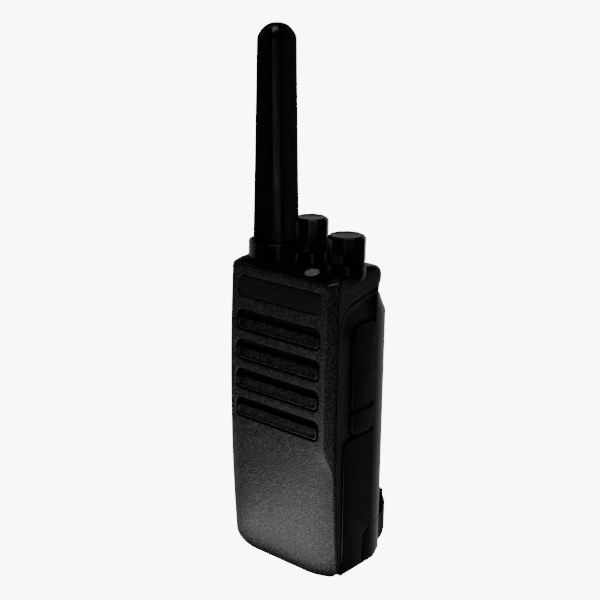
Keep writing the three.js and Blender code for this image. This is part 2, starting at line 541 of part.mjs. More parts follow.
const beltClip = () => {
  const { halfWidth, plate, low, high, back, pinY, pinZ, pinRadius } = CLIP;
  const face = back - plate;
  const side = polygon([
    [face, high], [face, low + 8], [face - 3.6, low + 3.4], [face - 2.4, low + 1.2], [back - 1.4, low + 2.4],
    [back, low + 7], [back, high - 1], [back - 0.6, high],
  ]);
  const arm = solidOf(alongX(side, -halfWidth, halfWidth));
  const barrel = cylinderX(2.4, -halfWidth, halfWidth, pinY, pinZ);
  const springWindow = box(-4.9, 4.9, 20, back + 1, pinZ - 3.2, pinZ + 3.2);
  return cut(union(arm, barrel), cylinderX(pinRadius + GAP, -12, 12, pinY, pinZ), springWindow);
};
add('belt_clip', beltClip(), MATERIAL.satin);

export default model;
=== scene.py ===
import json
import math

import bmesh
import bpy
import numpy as np
from mathutils import Matrix, Vector


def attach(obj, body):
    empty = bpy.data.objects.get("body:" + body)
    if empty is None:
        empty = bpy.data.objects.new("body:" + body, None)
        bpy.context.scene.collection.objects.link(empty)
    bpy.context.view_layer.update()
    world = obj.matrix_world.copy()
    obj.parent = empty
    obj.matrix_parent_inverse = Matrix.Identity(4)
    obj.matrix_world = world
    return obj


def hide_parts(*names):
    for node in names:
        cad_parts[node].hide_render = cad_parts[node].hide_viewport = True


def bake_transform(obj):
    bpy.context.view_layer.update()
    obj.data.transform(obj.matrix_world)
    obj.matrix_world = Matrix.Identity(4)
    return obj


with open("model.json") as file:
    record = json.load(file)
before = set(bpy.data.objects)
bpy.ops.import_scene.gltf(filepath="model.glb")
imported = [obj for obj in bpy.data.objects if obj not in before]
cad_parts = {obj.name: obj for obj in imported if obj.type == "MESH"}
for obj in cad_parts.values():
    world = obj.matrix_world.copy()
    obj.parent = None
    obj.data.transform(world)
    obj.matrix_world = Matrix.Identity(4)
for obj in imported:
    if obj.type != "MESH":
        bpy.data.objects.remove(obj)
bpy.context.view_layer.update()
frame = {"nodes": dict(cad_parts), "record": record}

# ---------------------------------------------------------------- sizes, in millimetres as in the CAD
MM = 0.001
HALF_WIDTH = 28.0
FRONT, BOW, BOW_HEIGHT = -20.0, 0.00064, 74.5
CHAMFER = 3.2
WALL, FRONT_WALL = 2.5, 2.2
LOW_BACK, SHELF, HIGH_BACK = -10.5, 59.8, 10.0
CAP_BASE, CAP_BACK, CAP_RADIUS = 117.3, 16.0, 8.0
CHIN_TOP, CHIN_FULL = 59.5, 46.0
CONTROL_Y = -2.0
ANTENNA = dict(x=-16.3, bottom=132.0, top=219.7, half=8.0, cut=2.9, tip_x=5.85, tip_y=7.35)
COLLAR = dict(radius=11.2, top=134.0, recess=9.8, bore=5.1)
KNOBS = {
    "channel": dict(x=2.2, boss=7.0, boss_top=132.4, low=132.9, high=146.0, radius=7.1),
    "volume": dict(x=20.1, boss=7.9, boss_top=130.4, low=131.0, high=141.6, radius=7.8),
}
KNOB_SIDES, KNOB_TURN = 10, math.radians(47.5)
SHAFT_BORE = 3.3
LENS = dict(x=12.3, y=-13.1, half_x=3.2, half_y=2.5, top=127.6, slope=0.31)
SLOTS = [103.1 - 12.57 * i for i in range(4)]
SLOT_HALF, SLOT_HALF_HEIGHT, SLOT_RADIUS = 22.1, 4.4, 2.7
PLATE = dict(half=21.5, low=112.7, high=121.5, radius=2.5)
COVER = dict(front=-5.6, back=8.2, low=60.5, high=107.0, fold=71.5, inner=26.7, outer=28.3)
PTT = dict(front=-7.7, back=3.7, low=80.3, high=105.7, outer=-28.8)
SIDE_KEYS = {"side_key_upper": (70.5, 77.5), "side_key_lower": (62.0, 69.0)}
PACK_BACK, PACK_TOP, PACK_CORNER_X, PACK_CORNER_Y = 20.5, 117.0, 7.0, 12.5
CLIP = dict(half=9.0, pin_y=25.0, pin_z=98.0, pin=1.2, low=44.0, high=110.0, back=27.6, plate=2.0)

TEXTURED, SMOOTH = 0, 1  # places in the housing's list of materials


# ---------------------------------------------------------------- outlines
def smooth(t):
    t = np.clip(t, 0, 1)
    return t * t * (3 - 2 * t)


def bow(z):
    return BOW * (z - BOW_HEIGHT) ** 2


def fillet(corners, steps=6):
    """A closed outline through corners given as (u, v, radius)."""
    points = []
    for i, (u, v, radius) in enumerate(corners):
        here = np.array((u, v), float)
        before = np.array(corners[i - 1][:2], float) - here
        after = np.array(corners[(i + 1) % len(corners)][:2], float) - here
        before, after = before / np.linalg.norm(before), after / np.linalg.norm(after)
        if radius <= 0:
            points.append(here)
            continue
        half = math.acos(np.clip(before @ after, -1, 1)) / 2
        reach = radius / math.tan(half)
        middle = before + after
        centre = here + middle / np.linalg.norm(middle) * radius / math.sin(half)
        first, last = here + before * reach - centre, here + after * reach - centre
        start = math.atan2(first[1], first[0])
        turn = (math.atan2(last[1], last[0]) - start + math.pi) % (2 * math.pi) - math.pi
        for k in range(steps + 1):
            angle = start + turn * k / steps
            points.append(centre + radius * np.array((math.cos(angle), math.sin(angle))))
    return np.array(points)


def rounded_rectangle(u0, u1, v0, v1, radius, steps=8):
    return fillet([(u0, v0, radius), (u1, v0, radius), (u1, v1, radius), (u0, v1, radius)], steps)


def pocket(front, back, low, high, radii):
    """A rectangle on a side wall: radii are front-low, back-low, back-high, front-high."""
    corners = [(front, low), (back, low), (back, high), (front, high)]
    return fillet([(y, z, radius) for (y, z), radius in zip(corners, radii)], 10)


def circle(radius, sides=48):
    turn = np.linspace(0, 2 * math.pi, sides, endpoint=False)
    return np.stack([radius * np.cos(turn), radius * np.sin(turn)], 1)


def densify(outline, longest):
    """Long straight edges broken into shorter ones."""
    points = []
    for a, b in zip(outline, np.roll(outline, -1, 0)):
        parts = max(1, math.ceil(np.linalg.norm(b - a) / longest))
        points += [a + (b - a) * k / parts for k in range(parts)]
    return np.array(points)


def inset(outline, distance):
    """A counter-clockwise outline moved inward."""
    def left(step):
        step = step / np.linalg.norm(step, axis=1, keepdims=True)
        return np.stack([-step[:, 1], step[:, 0]], 1)

    arriving = left(outline - np.roll(outline, 1, 0))
    leaving = left(np.roll(outline, -1, 0) - outline)
    mitre = (arriving + leaving) / (1 + (arriving * leaving).sum(1))[:, None]
    return outline + mitre * distance


AXES = {"X": (1, 2, 0), "Y": (0, 2, 1), "Z": (0, 1, 2)}


def ring(outline, axis, at, centre=(0, 0)):
    """An outline set across an axis: at may differ from point to point."""
    u, v, w = AXES[axis]
    points = np.empty((len(outline), 3))
    points[:, u], points[:, v], points[:, w] = outline[:, 0] + centre[0], outline[:, 1] + centre[1], at
    return points


def slab(outline, axis, low, high, round_low=0.4, round_high=0.4, steps=4):
    """Rings of a plate with rounded edges at both of its faces."""
    quarter = [math.pi / 2 * k / steps for k in range(steps + 1)]
    rings = [ring(inset(outline, round_low * (1 - math.sin(a))), axis, low + round_low * (1 - math.cos(a)))
             for a in quarter]
    rings += [ring(inset(outline, round_high * (1 - math.cos(a))), axis,
                   high - round_high * (1 - math.sin(a))) for a in quarter]
    return rings


def turned(profile, x, y, sides=96):
    """Rings of a turned piece on a vertical axis: the profile is (radius, height)."""
    return [ring(circle(max(radius, 0.01), sides), "Z", z, (x, y)) for radius, z in profile]


# ---------------------------------------------------------------- meshes
def build(name, rings, materials, indices=None, sharp=38, closed=False):
    """A closed mesh through rings of equal length; closed joins the last ring to the first."""
    count, around = len(rings), len(rings[0])
    vertices = np.concatenate(rings) * MM
    here = np.arange(around)
    beside = np.roll(here, -1)
    faces = []
    for r in range(count if closed else count - 1):
        a, b = r * around, (r + 1) % count * around
        faces += np.stack([here + a, beside + a, beside + b, here + b], 1).tolist()
    marks = [] if indices is None else [i for i in indices for _ in range(around)]
    if not closed:
        faces += [here[::-1].tolist(), (here + (count - 1) * around).tolist()]
        marks += marks and [indices[0], indices[-1]]
    data = bpy.data.meshes.new(name)
    data.from_pydata(vertices.tolist(), [], faces)
    for item in materials:
        data.materials.append(item)
    if marks:
        data.polygons.foreach_set("material_index", marks)
    work = bmesh.new()
    work.from_mesh(data)
    bmesh.ops.recalc_face_normals(work, faces=work.faces)
    if work.calc_volume(signed=True) < 0:
        bmesh.ops.reverse_faces(work, faces=work.faces)
    work.to_mesh(data)
    work.free()
    piece = bpy.data.objects.new(name, data)
    bpy.context.scene.collection.objects.link(piece)
    shade(piece, sharp)
    return piece


def shade(piece, sharp=38):
    piece.data.shade_smooth()
    piece.data.set_sharp_from_angle(angle=math.radians(sharp))


def combine(piece, tools, operation="DIFFERENCE", sharp=38):
    """Cuts the tools out of a piece, or adds them to it."""
    for tool in tools:
        change = piece.modifiers.new("combine", "BOOLEAN")
        change.object, change.operation, change.solver = tool, operation, "MANIFOLD"
    seen = piece.evaluated_get(bpy.context.evaluated_depsgraph_get())
    result = bpy.data.meshes.new_from_object(seen)
    piece.modifiers.clear()
    piece.data = result
    for tool in tools:
        bpy.data.objects.remove(tool)
    shade(piece, sharp)
    return piece


def block(x0, x1, y0, y1, z0, z1, materials, index=SMOOTH):
    outline = np.array([(x0, y0), (x1, y0), (x1, y1), (x0, y1)], float)
    return build("tool", [ring(outline, "Z", z0), ring(outline, "Z", z1)], materials, [index])


def cylinder(axis, radius, at, low, high, materials, sides=48):
    outline = circle(radius, sides)
    return build("tool", [ring(outline, axis, low, at), ring(outline, axis, high, at)], materials, [SMOOTH])


def place(piece, body, slot, *nodes):
    """Makes a piece ride on its body in place of its CAD nodes; slot is not used."""
    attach(piece, body)
    if nodes:
        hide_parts(*nodes)
    return piece


# ---------------------------------------------------------------- materials
class Nodes:
    """A short way to write a material's nodes."""

    def __init__(self, name, color, roughness, metallic=0.0, specular=0.5):
        self.material = bpy.data.materials.new(name)
        self.material.use_nodes = True
        self.tree = self.material.node_tree
        self.shader = self.tree.nodes["Principled BSDF"]
        self.set("Base Color", (*color, 1))
        self.set("Roughness", roughness)
        self.set("Metallic", metallic)
        self.set("Specular IOR Level", specular)
        self.where = self.tree.nodes.new("ShaderNodeTexCoord").outputs["Object"]

    def set(self, socket, value):
        self.shader.inputs[socket].default_value = value

    def link(self, source, target):
        self.tree.links.new(source, target)

    def add(self, kind, inputs=(), **settings):
        node = self.tree.nodes.new("ShaderNode" + kind)
        for key, value in settings.items():
            setattr(node, key, value)
        for key, value in dict(inputs).items():
            if hasattr(value, "is_output"):
                self.link(value, node.inputs[key])
            else:
                node.inputs[key].default_value = value
        return node

    def noise(self, millimetres, detail=2.0, stretch=(1, 1, 1)):
        """Noise whose features are about this large."""
        place = self.add("Mapping", {"Vector": self.where, "Scale": stretch})
        return self.add("TexNoise", {"Vector": place.outputs[0], "Scale": 1 / (millimetres * MM),
                                     "Detail": detail}).outputs["Fac"]

    def cells(self, millimetres, feature="F1", output="Distance"):
        return self.add("TexVoronoi", {"Vector": self.where, "Scale": 1 / (millimetres * MM)},
                        feature=feature).outputs[output]

    def ramp(self, source, *stops):
        node = self.add("ValToRGB", {"Fac": source})
        elements = node.color_ramp.elements
        while len(elements) < len(stops):
            elements.new(0.5)
        for element, (position, value) in zip(elements, stops):
            element.position = position
            element.color = (*value, 1) if isinstance(value, tuple) else (value, value, value, 1)
        return node.outputs["Color"]

    def range(self, source, low, high, start=0.0, end=1.0):
        return self.add("MapRange", {"Value": source, "From Min": start, "From Max": end,
                                     "To Min": low, "To Max": high}).outputs["Result"]

    def math(self, operation, a, b=0.0):
        node = self.add("Math", operation=operation)
        for socket, value in zip(node.inputs, (a, b)):
            if hasattr(value, "is_output"):
                self.link(value, socket)
            else:
                socket.default_value = value
        return node.outputs[0]

    def color(self, source):
        self.link(source, self.shader.inputs["Base Color"])

    def rough(self, source):
        self.link(source, self.shader.inputs["Roughness"])

    def bump(self, *layers):
        """Layers of (height, depth in millimetres), from the coarsest to the finest."""
        normal = None
        for height, depth in layers:
            node = self.add("Bump", {"Height": height, "Distance": depth * MM, "Strength": 1.0})
            if normal:
                self.link(normal, node.inputs["Normal"])
            normal = node.outputs["Normal"]
        self.link(normal, self.shader.inputs["Normal"])


def textured_plastic():
    """Spark-eroded grain: fine rounded pebbles, with painted glints on their tops and painted shade in the
    hollows between them.
    """
    n = Nodes("textured_case", (0.012, 0.012, 0.0125), 0.5, specular=0.5)
    pebbles, grit, tone = n.cells(0.5), n.noise(0.34, 3), n.noise(9.0, 3)
    # Painted glints and painted shade: the bump's coarsest noise colours the pebble tops light and the
    # hollows dark.
    pebble_glint = n.ramp(n.noise(0.72, 3), (0.42, (0.0015, 0.0015, 0.0016)), (0.62, (0.078, 0.076, 0.077)))
    patch = n.ramp(tone, (0.3, 0.82), (0.7, 1.0))
    mix = n.add("Mix", {"Factor": 1.0}, data_type="RGBA", blend_type="MULTIPLY")
    n.link(pebble_glint, mix.inputs["A"])
    n.link(patch, mix.inputs["B"])
    n.color(mix.outputs["Result"])
    n.rough(n.range(grit, 0.34, 0.54, 0.3, 0.7))
    n.bump((n.noise(0.72, 3), 0.24), (pebbles, 0.1), (grit, 0.05))
    return n.material


def smooth_plastic(name="smooth_plastic", tint=(0.011, 0.011, 0.0115), gloss=0.25, orange=0.008):
    """Plain moulded plastic: a faint orange peel, handling marks and rubbed edges."""
    n = Nodes(name, tint, gloss)
    peel, haze, marks = n.noise(1.1, 3), n.noise(7.0, 4), n.noise(0.6, 5, (1, 1, 0.08))
    rubbed = tuple(2.2 * c for c in tint)
    edge = n.ramp(n.add("NewGeometry").outputs["Pointiness"], (0.53, tint), (0.62, rubbed))
    n.color(edge)
    dull = n.math("MULTIPLY", n.range(marks, 0.0, 0.09, 0.55, 0.75), n.range(haze, 0.3, 1.0, 0.35, 0.65))
    n.rough(n.math("ADD", dull, n.range(haze, gloss - 0.05, gloss + 0.07, 0.3, 0.7)))
    n.bump((peel, orange), (n.noise(0.16, 2), orange / 3))
    return n.material


def rubber():
    n = Nodes("rubber", (0.013, 0.013, 0.0135), 0.5, specular=0.5)
    dust, grain = n.noise(3.0, 5), n.noise(0.22, 3)
    n.color(n.ramp(dust, (0.35, (0.011, 0.011, 0.0115)), (0.75, (0.018, 0.0175, 0.018))))
    n.rough(n.range(dust, 0.46, 0.64, 0.3, 0.7))
    n.bump((n.noise(2.4, 2), 0.015), (grain, 0.02))
    return n.material


def inlay():
    """The blank name plate: dark brown-black with a fine printed grain."""
    n = Nodes("inlay", (0.010, 0.008, 0.0075), 0.5, specular=0.3)
    grain = n.noise(0.3, 3)
    n.color(n.ramp(grain, (0.4, (0.006, 0.005, 0.0045)), (0.62, (0.045, 0.038, 0.035))))
    n.rough(n.range(n.noise(5.0, 4), 0.4, 0.55, 0.3, 0.7))
    n.bump((grain, 0.025))
    return n.material


def cloth():
    """Acoustic cloth: plain weave of fine black threads."""
    n = Nodes("cloth", (0.002, 0.002, 0.002), 0.95, specular=0.08)
    waves = [n.add("TexWave", {"Vector": n.where, "Scale": 900.0, "Distortion": 0.4, "Detail": 1.0},
                   bands_direction=axis).outputs["Fac"] for axis in ("X", "Z")]
    weave = n.math("MAXIMUM", *waves)
    n.color(n.ramp(weave, (0.3, (0.0005, 0.0005, 0.0005)), (0.9, (0.003, 0.003, 0.0032))))
    n.bump((weave, 0.12), (n.noise(0.1, 2), 0.02))
    return n.material


def milky_lens():
    n = Nodes("lens", (0.56, 0.60, 0.70), 0.22, specular=0.5)
    cloudy = n.noise(1.6, 3)
    n.color(n.ramp(cloudy, (0.3, (0.50, 0.54, 0.65)), (0.75, (0.66, 0.70, 0.79))))
    n.set("Subsurface Weight", 0.35)
    n.set("Subsurface Radius", (0.8, 0.9, 1.0))
    n.set("Subsurface Scale", 0.0012)
    n.set("Coat Weight", 0.5)
    n.rough(n.range(cloudy, 0.2, 0.3, 0.3, 0.7))
    n.bump((n.noise(0.8, 2), 0.006))
    return n.material


def metal(name, low, high, rough, stretch, grain, depth):
    """Drawn, turned or cast metal: the grain's stretch gives the way that it was worked."""
    n = Nodes(name, high, rough, 1.0)
    work, stain = n.noise(grain, 4, stretch), n.noise(4.0, 5)
    n.color(n.ramp(stain, (0.3, low), (0.7, high)))
    n.rough(n.range(work, rough - 0.1, rough + 0.12, 0.3, 0.7))
    n.bump((work, depth))
    return n.material


def board():
    """Green solder mask over copper tracks, with tinned pads."""
    n = Nodes("board", (0.01, 0.09, 0.04), 0.35)
    tracks = n.add("TexBrick", {"Vector": n.where, "Scale": 260.0, "Mortar Size": 0.025,
                                "Color1": (0, 0, 0, 1), "Color2": (0, 0, 0, 1), "Mortar": (1, 1, 1, 1)})
    pads = n.ramp(n.cells(2.6), (0.16, 1.0), (0.2, 0.0))
    n.color(n.ramp(tracks.outputs["Color"], (0.0, (0.008, 0.075, 0.032)), (1.0, (0.018, 0.13, 0.05))))
    n.link(pads, n.shader.inputs["Metallic"])
    n.rough(n.range(n.noise(1.5, 3), 0.28, 0.42, 0.3, 0.7))
    n.bump((tracks.outputs["Fac"], 0.03), (n.noise(0.2, 2), 0.006))
    return n.material


def paper_cone():
    n = Nodes("cone", (0.03, 0.026, 0.022), 0.85)
    fibre = n.noise(0.5, 6, (1, 1, 3))
    n.color(n.ramp(fibre, (0.35, (0.02, 0.017, 0.014)), (0.7, (0.05, 0.044, 0.038))))
    n.bump((fibre, 0.05))
    return n.material


def cell_wrap():
    """Shrunk plastic sleeve of the cells."""
    n = Nodes("cell", (0.04, 0.11, 0.27), 0.34)
    wrinkle = n.noise(6.0, 4, (1, 1, 0.3))
    n.color(n.ramp(wrinkle, (0.3, (0.03, 0.09, 0.23)), (0.7, (0.05, 0.13, 0.31))))
    n.rough(n.range(wrinkle, 0.28, 0.42, 0.3, 0.7))
    n.bump((wrinkle, 0.15), (n.noise(0.4, 2), 0.01))
    return n.material


MATERIALS = {
    "textured_case": textured_plastic(),
    "smooth_plastic": smooth_plastic(),
    "rubber": rubber(),
    "inlay": inlay(),
    "cloth": cloth(),
    "lens": milky_lens(),
    "cast_metal": metal("cast_metal", (0.30, 0.31, 0.32), (0.46, 0.47, 0.48), 0.5, (1, 1, 1), 0.5, 0.05),
    "steel": metal("steel", (0.50, 0.50, 0.51), (0.66, 0.66, 0.67), 0.28, (0.1, 1, 1), 0.3, 0.01),
    "brass": metal("brass", (0.52, 0.40, 0.17), (0.70, 0.56, 0.27), 0.3, (1, 1, 0.2), 0.3, 0.01),
    "board": board(),
    "cone": paper_cone(),
    "cell": cell_wrap(),
}
seal = Nodes("seal", (0.04, 0.042, 0.046), 0.75)
seal.bump((seal.noise(0.4, 3), 0.03))
seal.rough(seal.range(seal.noise(2.0, 3), 0.65, 0.85, 0.3, 0.7))
MATERIALS["seal"] = seal.material
CASE = [MATERIALS["textured_case"], MATERIALS["smooth_plastic"]]
SATIN = [MATERIALS["smooth_plastic"]]
RUBBER = [MATERIALS["rubber"]]

# ---------------------------------------------------------------- housing: outer skin
DECK_EDGE, DECK_CROWN, SHOULDER_X, SHOULDER = 128.0, 0.3, 23.0, 5.0
FRONT_ROUND, CORNER_ROUND, SIDE_ROUND, REAR_ROUND = 1.7, 2.8, 5.0, 2.4
FALL_FRONT, FALL_FRONT_RATE = -9, 0.0375  # the deck curves down in front of the first, behind the second
FALL_REAR, FALL_REAR_RATE = 7, 0.022
BOTTOM_CORNER, BOTTOM_ROUND = 5.0, 0.6
CHIN_HALF, CHIN_SETBACK = 27.5, 2.7


def bend(a, corner, b, steps=4):
    """Points of a small rounded corner from a to b."""
    a, corner, b = map(np.array, (a, corner, b))
    return [(1 - t) ** 2 * a + 2 * t * (1 - t) * corner + t * t * b
            for t in (k / steps for k in range(steps + 1))]


def half_section():
    """The section's right half from the middle of the front to the middle of the back: (x, setback)."""
    edge = HALF_WIDTH - CHAMFER
    points = [np.array((x, 0.0)) for x in np.linspace(0, edge - 0.5, 26, endpoint=False)]
    points += bend((edge - 0.5, 0), (edge, 0), (edge + 0.35, 0.35))
    points += [np.array((edge + s, s)) for s in (0.9, 1.4, 1.9, 2.4)]
    points += bend((HALF_WIDTH - 0.35, CHAMFER - 0.35), (HALF_WIDTH, CHAMFER), (HALF_WIDTH, CHAMFER + 0.5))
    side = np.concatenate([np.arange(3.85, 8.0, 0.15), np.arange(8.0, 9.0, 0.2),
                           [9.0, 9.2, 9.35, 9.44, 9.5], np.arange(9.9, 27.9, 0.36)])
    points += [np.array((HALF_WIDTH, s)) for s in side]
    centre = np.array((HALF_WIDTH - CAP_RADIUS, CAP_BACK - FRONT - CAP_RADIUS))
    points += [centre + CAP_RADIUS * np.array((math.cos(a), math.sin(a)))
               for a in np.linspace(0, math.pi / 2, 13)]
    points += [np.array((x, CAP_BACK - FRONT)) for x in np.linspace(18, 0, 8)]
    return np.array(points)


def chin_shape(x, setback):
    """Where a point of the front or chamfer goes on the fully broadened chin."""
    edge = HALF_WIDTH - CHAMFER
    broad = x + (CHIN_HALF - edge) * smooth((x - 9) / (edge - 9))
    curve = CHIN_SETBACK * (np.clip(broad - 15.5, 0, None) / (CHIN_HALF - 15.5)) ** 2.3
    along = np.clip((x - edge + setback) / (2 * CHAMFER), 0, 1)
    on_edge = x > edge
    broad = np.where(on_edge, CHIN_HALF + (HALF_WIDTH - CHIN_HALF) * np.sqrt(along), broad)
    curve = np.where(on_edge, CHIN_SETBACK + (CHAMFER + 0.1 - CHIN_SETBACK) * along, curve)
    return broad, np.where(setback > CHAMFER, setback, curve)


def deck_height(x, y):
    outward = np.abs(x)
    round_off = np.sqrt(np.maximum(0, SHOULDER ** 2 - (outward - SHOULDER_X) ** 2))
    arch = np.where(outward < SHOULDER_X, DECK_EDGE + DECK_CROWN * (1 - (outward / SHOULDER_X) ** 2),
                    DECK_EDGE - SHOULDER + round_off)
    front, rear = np.clip(FALL_FRONT - y, 0, None), np.clip(y - FALL_REAR, 0, None)
    return arch - FALL_FRONT_RATE * front ** 2 - FALL_REAR_RATE * rear ** 2


def seam_line():
    """The line where the side steps in: parallel to the front edge, then curving back under the top."""
    heights = np.arange(-2.0, 98, 4.0)
    rise = [(FRONT + 4.4 + bow(z), z) for z in heights]
    knots = rise[-2:] + [(-14.85, 103.0), (-14.1, 108.4), (-12.5, 112.3), (-9.0, 115.3),
                         (-2.7, 117.1), (3.5, 118.4), (9.6, 119.6), (15.0, 120.6)]
    knots = np.array(knots)
    line = rise[:-1]
    for i in range(1, len(knots) - 2):
        a, b, c, d = knots[i - 1:i + 3]
        for t in np.linspace(0, 1, 8, endpoint=False):
            line.append(tuple(0.5 * (2 * b + (c - a) * t + (2 * a - 5 * b + 4 * c - d) * t ** 2
                                     + (3 * b - a - 3 * c + d) * t ** 3)))
    return np.array(line + [tuple(knots[-2])])


def distance_to(line, y, z):
    """Distance of each point from a line, and whether it is on the line's right-hand side."""
    best, side = np.full(y.shape, 1e9), np.zeros(y.shape)
    for (y0, z0), (y1, z1) in zip(line[:-1], line[1:]):
        dy, dz = y1 - y0, z1 - z0
        t = np.clip(((y - y0) * dy + (z - z0) * dz) / (dy * dy + dz * dz), 0, 1)
        gap = np.hypot(y - y0 - t * dy, z - z0 - t * dz)
        nearer = gap < best
        side = np.where(nearer, (y - y0) * dz - (z - z0) * dy, side)
        best = np.where(nearer, gap, best)
    return best, side > 0


BOUNDARY = np.array([(LOW_BACK, -5), (LOW_BACK, SHELF - 2.7), (LOW_BACK + 2.7, SHELF), (HIGH_BACK, SHELF),
                     (HIGH_BACK, CAP_BASE), (CAP_BACK + 4, CAP_BASE)])
SEAM_DEPTH, SEAM_HALF, EDGE_ROUND = 0.95, 0.42, 0.6


def side_depth(y, z):
    """How far the side is sunk: the black seam, the panel behind it, the scoop under its arc."""
    gap, behind = distance_to(seam_line(), y, z)
    seam = SEAM_DEPTH * (1 - smooth((gap - SEAM_HALF + 0.12) / 0.3))
    arc = smooth((z - 99) / 8)
    panel = 0.3 + (1 - arc) * 0.07 * gap
    scoop = arc * (1.15 * smooth((gap - 0.2) / 3.0) - 0.45 * smooth((gap - 3.4) / 5))
    sunk = np.where(behind, (panel + scoop) * (1 - 0.8 * smooth((y - 3.5) / 6)), 0)
    depth = np.maximum(seam, sunk)
    edge, _ = distance_to(BOUNDARY, y, z)
    lip = np.clip(EDGE_ROUND - edge, 0, EDGE_ROUND)
    return depth + EDGE_ROUND - np.sqrt(EDGE_ROUND ** 2 - lip ** 2)


def housing_skin():
    half = half_section()
    x = np.concatenate([half[:, 0], -half[-2:0:-1, 0]])
    setback = np.concatenate([half[:, 1], half[-2:0:-1, 1]])
    lean = np.interp(setback, [5.1, 9.5], [1, 0])  # how much of the bow a point follows
    rows = np.concatenate([
        [0, 0.06, 0.2, 0.42, 0.7, 1.0, 1.4, 1.9, 2.5, 3.2, 4.0, 4.9, 6.0], np.arange(7.2, 56, 1.2),
        np.arange(56, 61.6, 0.35), np.arange(62, 97, 1.4), np.arange(97.5, 121.9, 0.24)])
    chin_x, chin_setback = chin_shape(np.abs(x), setback)

    def wall(z):
        share = smooth((CHIN_TOP - z) / (CHIN_TOP - CHIN_FULL))
        px = np.sign(x) * (np.abs(x) + share * (chin_x - np.abs(x)))
        py = FRONT + setback + share * (chin_setback - setback) + bow(z) * lean
        if z < BOTTOM_CORNER:
            narrowed = BOTTOM_CORNER - math.sqrt(BOTTOM_CORNER ** 2 - (BOTTOM_CORNER - z) ** 2)
            px = px * (1 - narrowed / HALF_WIDTH)
        if z < BOTTOM_ROUND:
            py = py + (BOTTOM_ROUND - math.sqrt(BOTTOM_ROUND ** 2 - (BOTTOM_ROUND - z) ** 2)) * (setback < 5)
        return np.stack([px, py, np.full(len(x), float(z))], 1)

    rings = [wall(z) for z in rows]
    last = rings[-1]
    step = np.roll(last, -1, 0) - np.roll(last, 1, 0)
    inward = np.stack([-step[:, 1], step[:, 0]], 1)
    inward /= np.linalg.norm(inward, axis=1, keepdims=True)
    size = np.interp(setback, [0, CHAMFER, 9, 28, 36],
                     [FRONT_ROUND, CORNER_ROUND, SIDE_ROUND, SIDE_ROUND, REAR_ROUND])
    foot = last[:, :2] + inward * size[:, None]
    edge = deck_height(foot[:, 0], foot[:, 1])
    spring = edge - size
    for t in (0.3, 0.6, 0.85, 1.0):
        rings.append(np.column_stack([last[:, :2], rows[-1] + (spring - rows[-1]) * t]))
    marks = [TEXTURED] * (len(rings) - 1)
    for angle in np.radians(np.arange(9, 91, 9)):
        at = last[:, :2] + inward * (size * (1 - math.cos(angle)))[:, None]
        rings.append(np.column_stack([at, spring + size * math.sin(angle)]))
        marks.append(TEXTURED if angle < math.radians(50) else SMOOTH)
    target = np.stack([np.clip(foot[:, 0] * 0.8, -17, 17), np.full(len(x), -1.0)], 1)
    for t in (0.05, 0.12, 0.2, 0.3, 0.42, 0.55, 0.7, 0.9):
        at = foot + (target - foot) * t
        rings.append(np.column_stack([at, deck_height(at[:, 0], at[:, 1])]))
        marks.append(SMOOTH)

    grid = np.array(rings)
    wall_rows = len(rows)
    along = np.roll(grid, -1, 1) - np.roll(grid, 1, 1)
    up = np.gradient(grid, axis=0)
    normal = np.cross(along, up)
    normal /= np.maximum(np.linalg.norm(normal, axis=2, keepdims=True), 1e-9)
    on_side = (setback > CHAMFER + 0.4) & (setback < 28.01)
    depth = np.zeros(grid.shape[:2])
    depth[:wall_rows, on_side] = side_depth(grid[:wall_rows, on_side, 1], grid[:wall_rows, on_side, 2])
    at_rear = setback > 28
    lip = 1.7 * (1 - smooth((grid[:wall_rows, at_rear, 2] - CAP_BASE) / 5.7))
    depth[:wall_rows, at_rear] = lip * smooth((setback[at_rear] - 28) / 7)
    grid -= normal * depth[:, :, None]
    grid[:, :, 2] = np.maximum(grid[:, :, 2], 0)
    return build("housing", list(grid), CASE, marks, sharp=40)


# ---------------------------------------------------------------- housing: what is cut out of it
def on_front(outline, depth):
    """A ring on the bowed front, sunk by depth."""
    return ring(outline, "Y", FRONT + bow(outline[:, 1]) + depth)


SLOT_PROFILE = [  # inset, depth: rounded rim, black groove, bright bead
    (-0.8, -0.7, 0), (-0.5, -0.06, 0), (-0.3, 0.05, 0), (-0.12, 0.19, 0), (-0.03, 0.36, 0), (0.0, 0.6, 1),
    (0.03, 1.35, 1), (0.12, 1.5, 1), (0.62, 1.5, 1), (0.7, 1.35, 1), (0.73, 0.6, 1), (0.8, 0.3, 0),
    (0.94, 0.1, 0), (1.14, 0.0, 0), (1.36, 0.08, 0), (1.52, 0.26, 0), (1.6, 0.5, 0),
]
SLOT_OPEN = 0.8  # above the slot's middle it opens through to the cloth
SLOT_THROUGH = 3.0


def slot_tool(centre):
    outline = densify(rounded_rectangle(-SLOT_HALF, SLOT_HALF, centre - SLOT_HALF_HEIGHT,
                                        centre + SLOT_HALF_HEIGHT, SLOT_RADIUS, 10), 0.55)
    floor = [(distance, None, 0) for distance in (1.8, 2.1, 2.5, 2.6, 3.0, 3.5, 4.0, 4.25)]
    rings, marks = [], []
    for distance, depth, mark in SLOT_PROFILE + floor:
        half, tall = SLOT_HALF - distance, SLOT_HALF_HEIGHT - distance
        radius = min(max(SLOT_RADIUS - distance, 0.12), tall - 0.02)
        shape = rounded_rectangle(-half, half, centre - tall, centre + tall, radius, 10)
        shape = matched(shape, outline)
        height = shape[:, 1] - centre
        slope = 0.5 + 1.0 * np.clip((height + 2.8) / 4.0, 0, 1)
        slope = slope + 0.35 * smooth((np.abs(shape[:, 0]) - 17.0) / 2.5)
        base = slope if depth is None else np.full(len(shape), depth)
        through = smooth((height - SLOT_OPEN + 0.25) / 0.5) if distance > 0.01 else 0
        rings.append(on_front(shape, base + through * (SLOT_THROUGH - base)))
        marks.append(mark)
    return build("tool", rings, CASE, marks[1:])


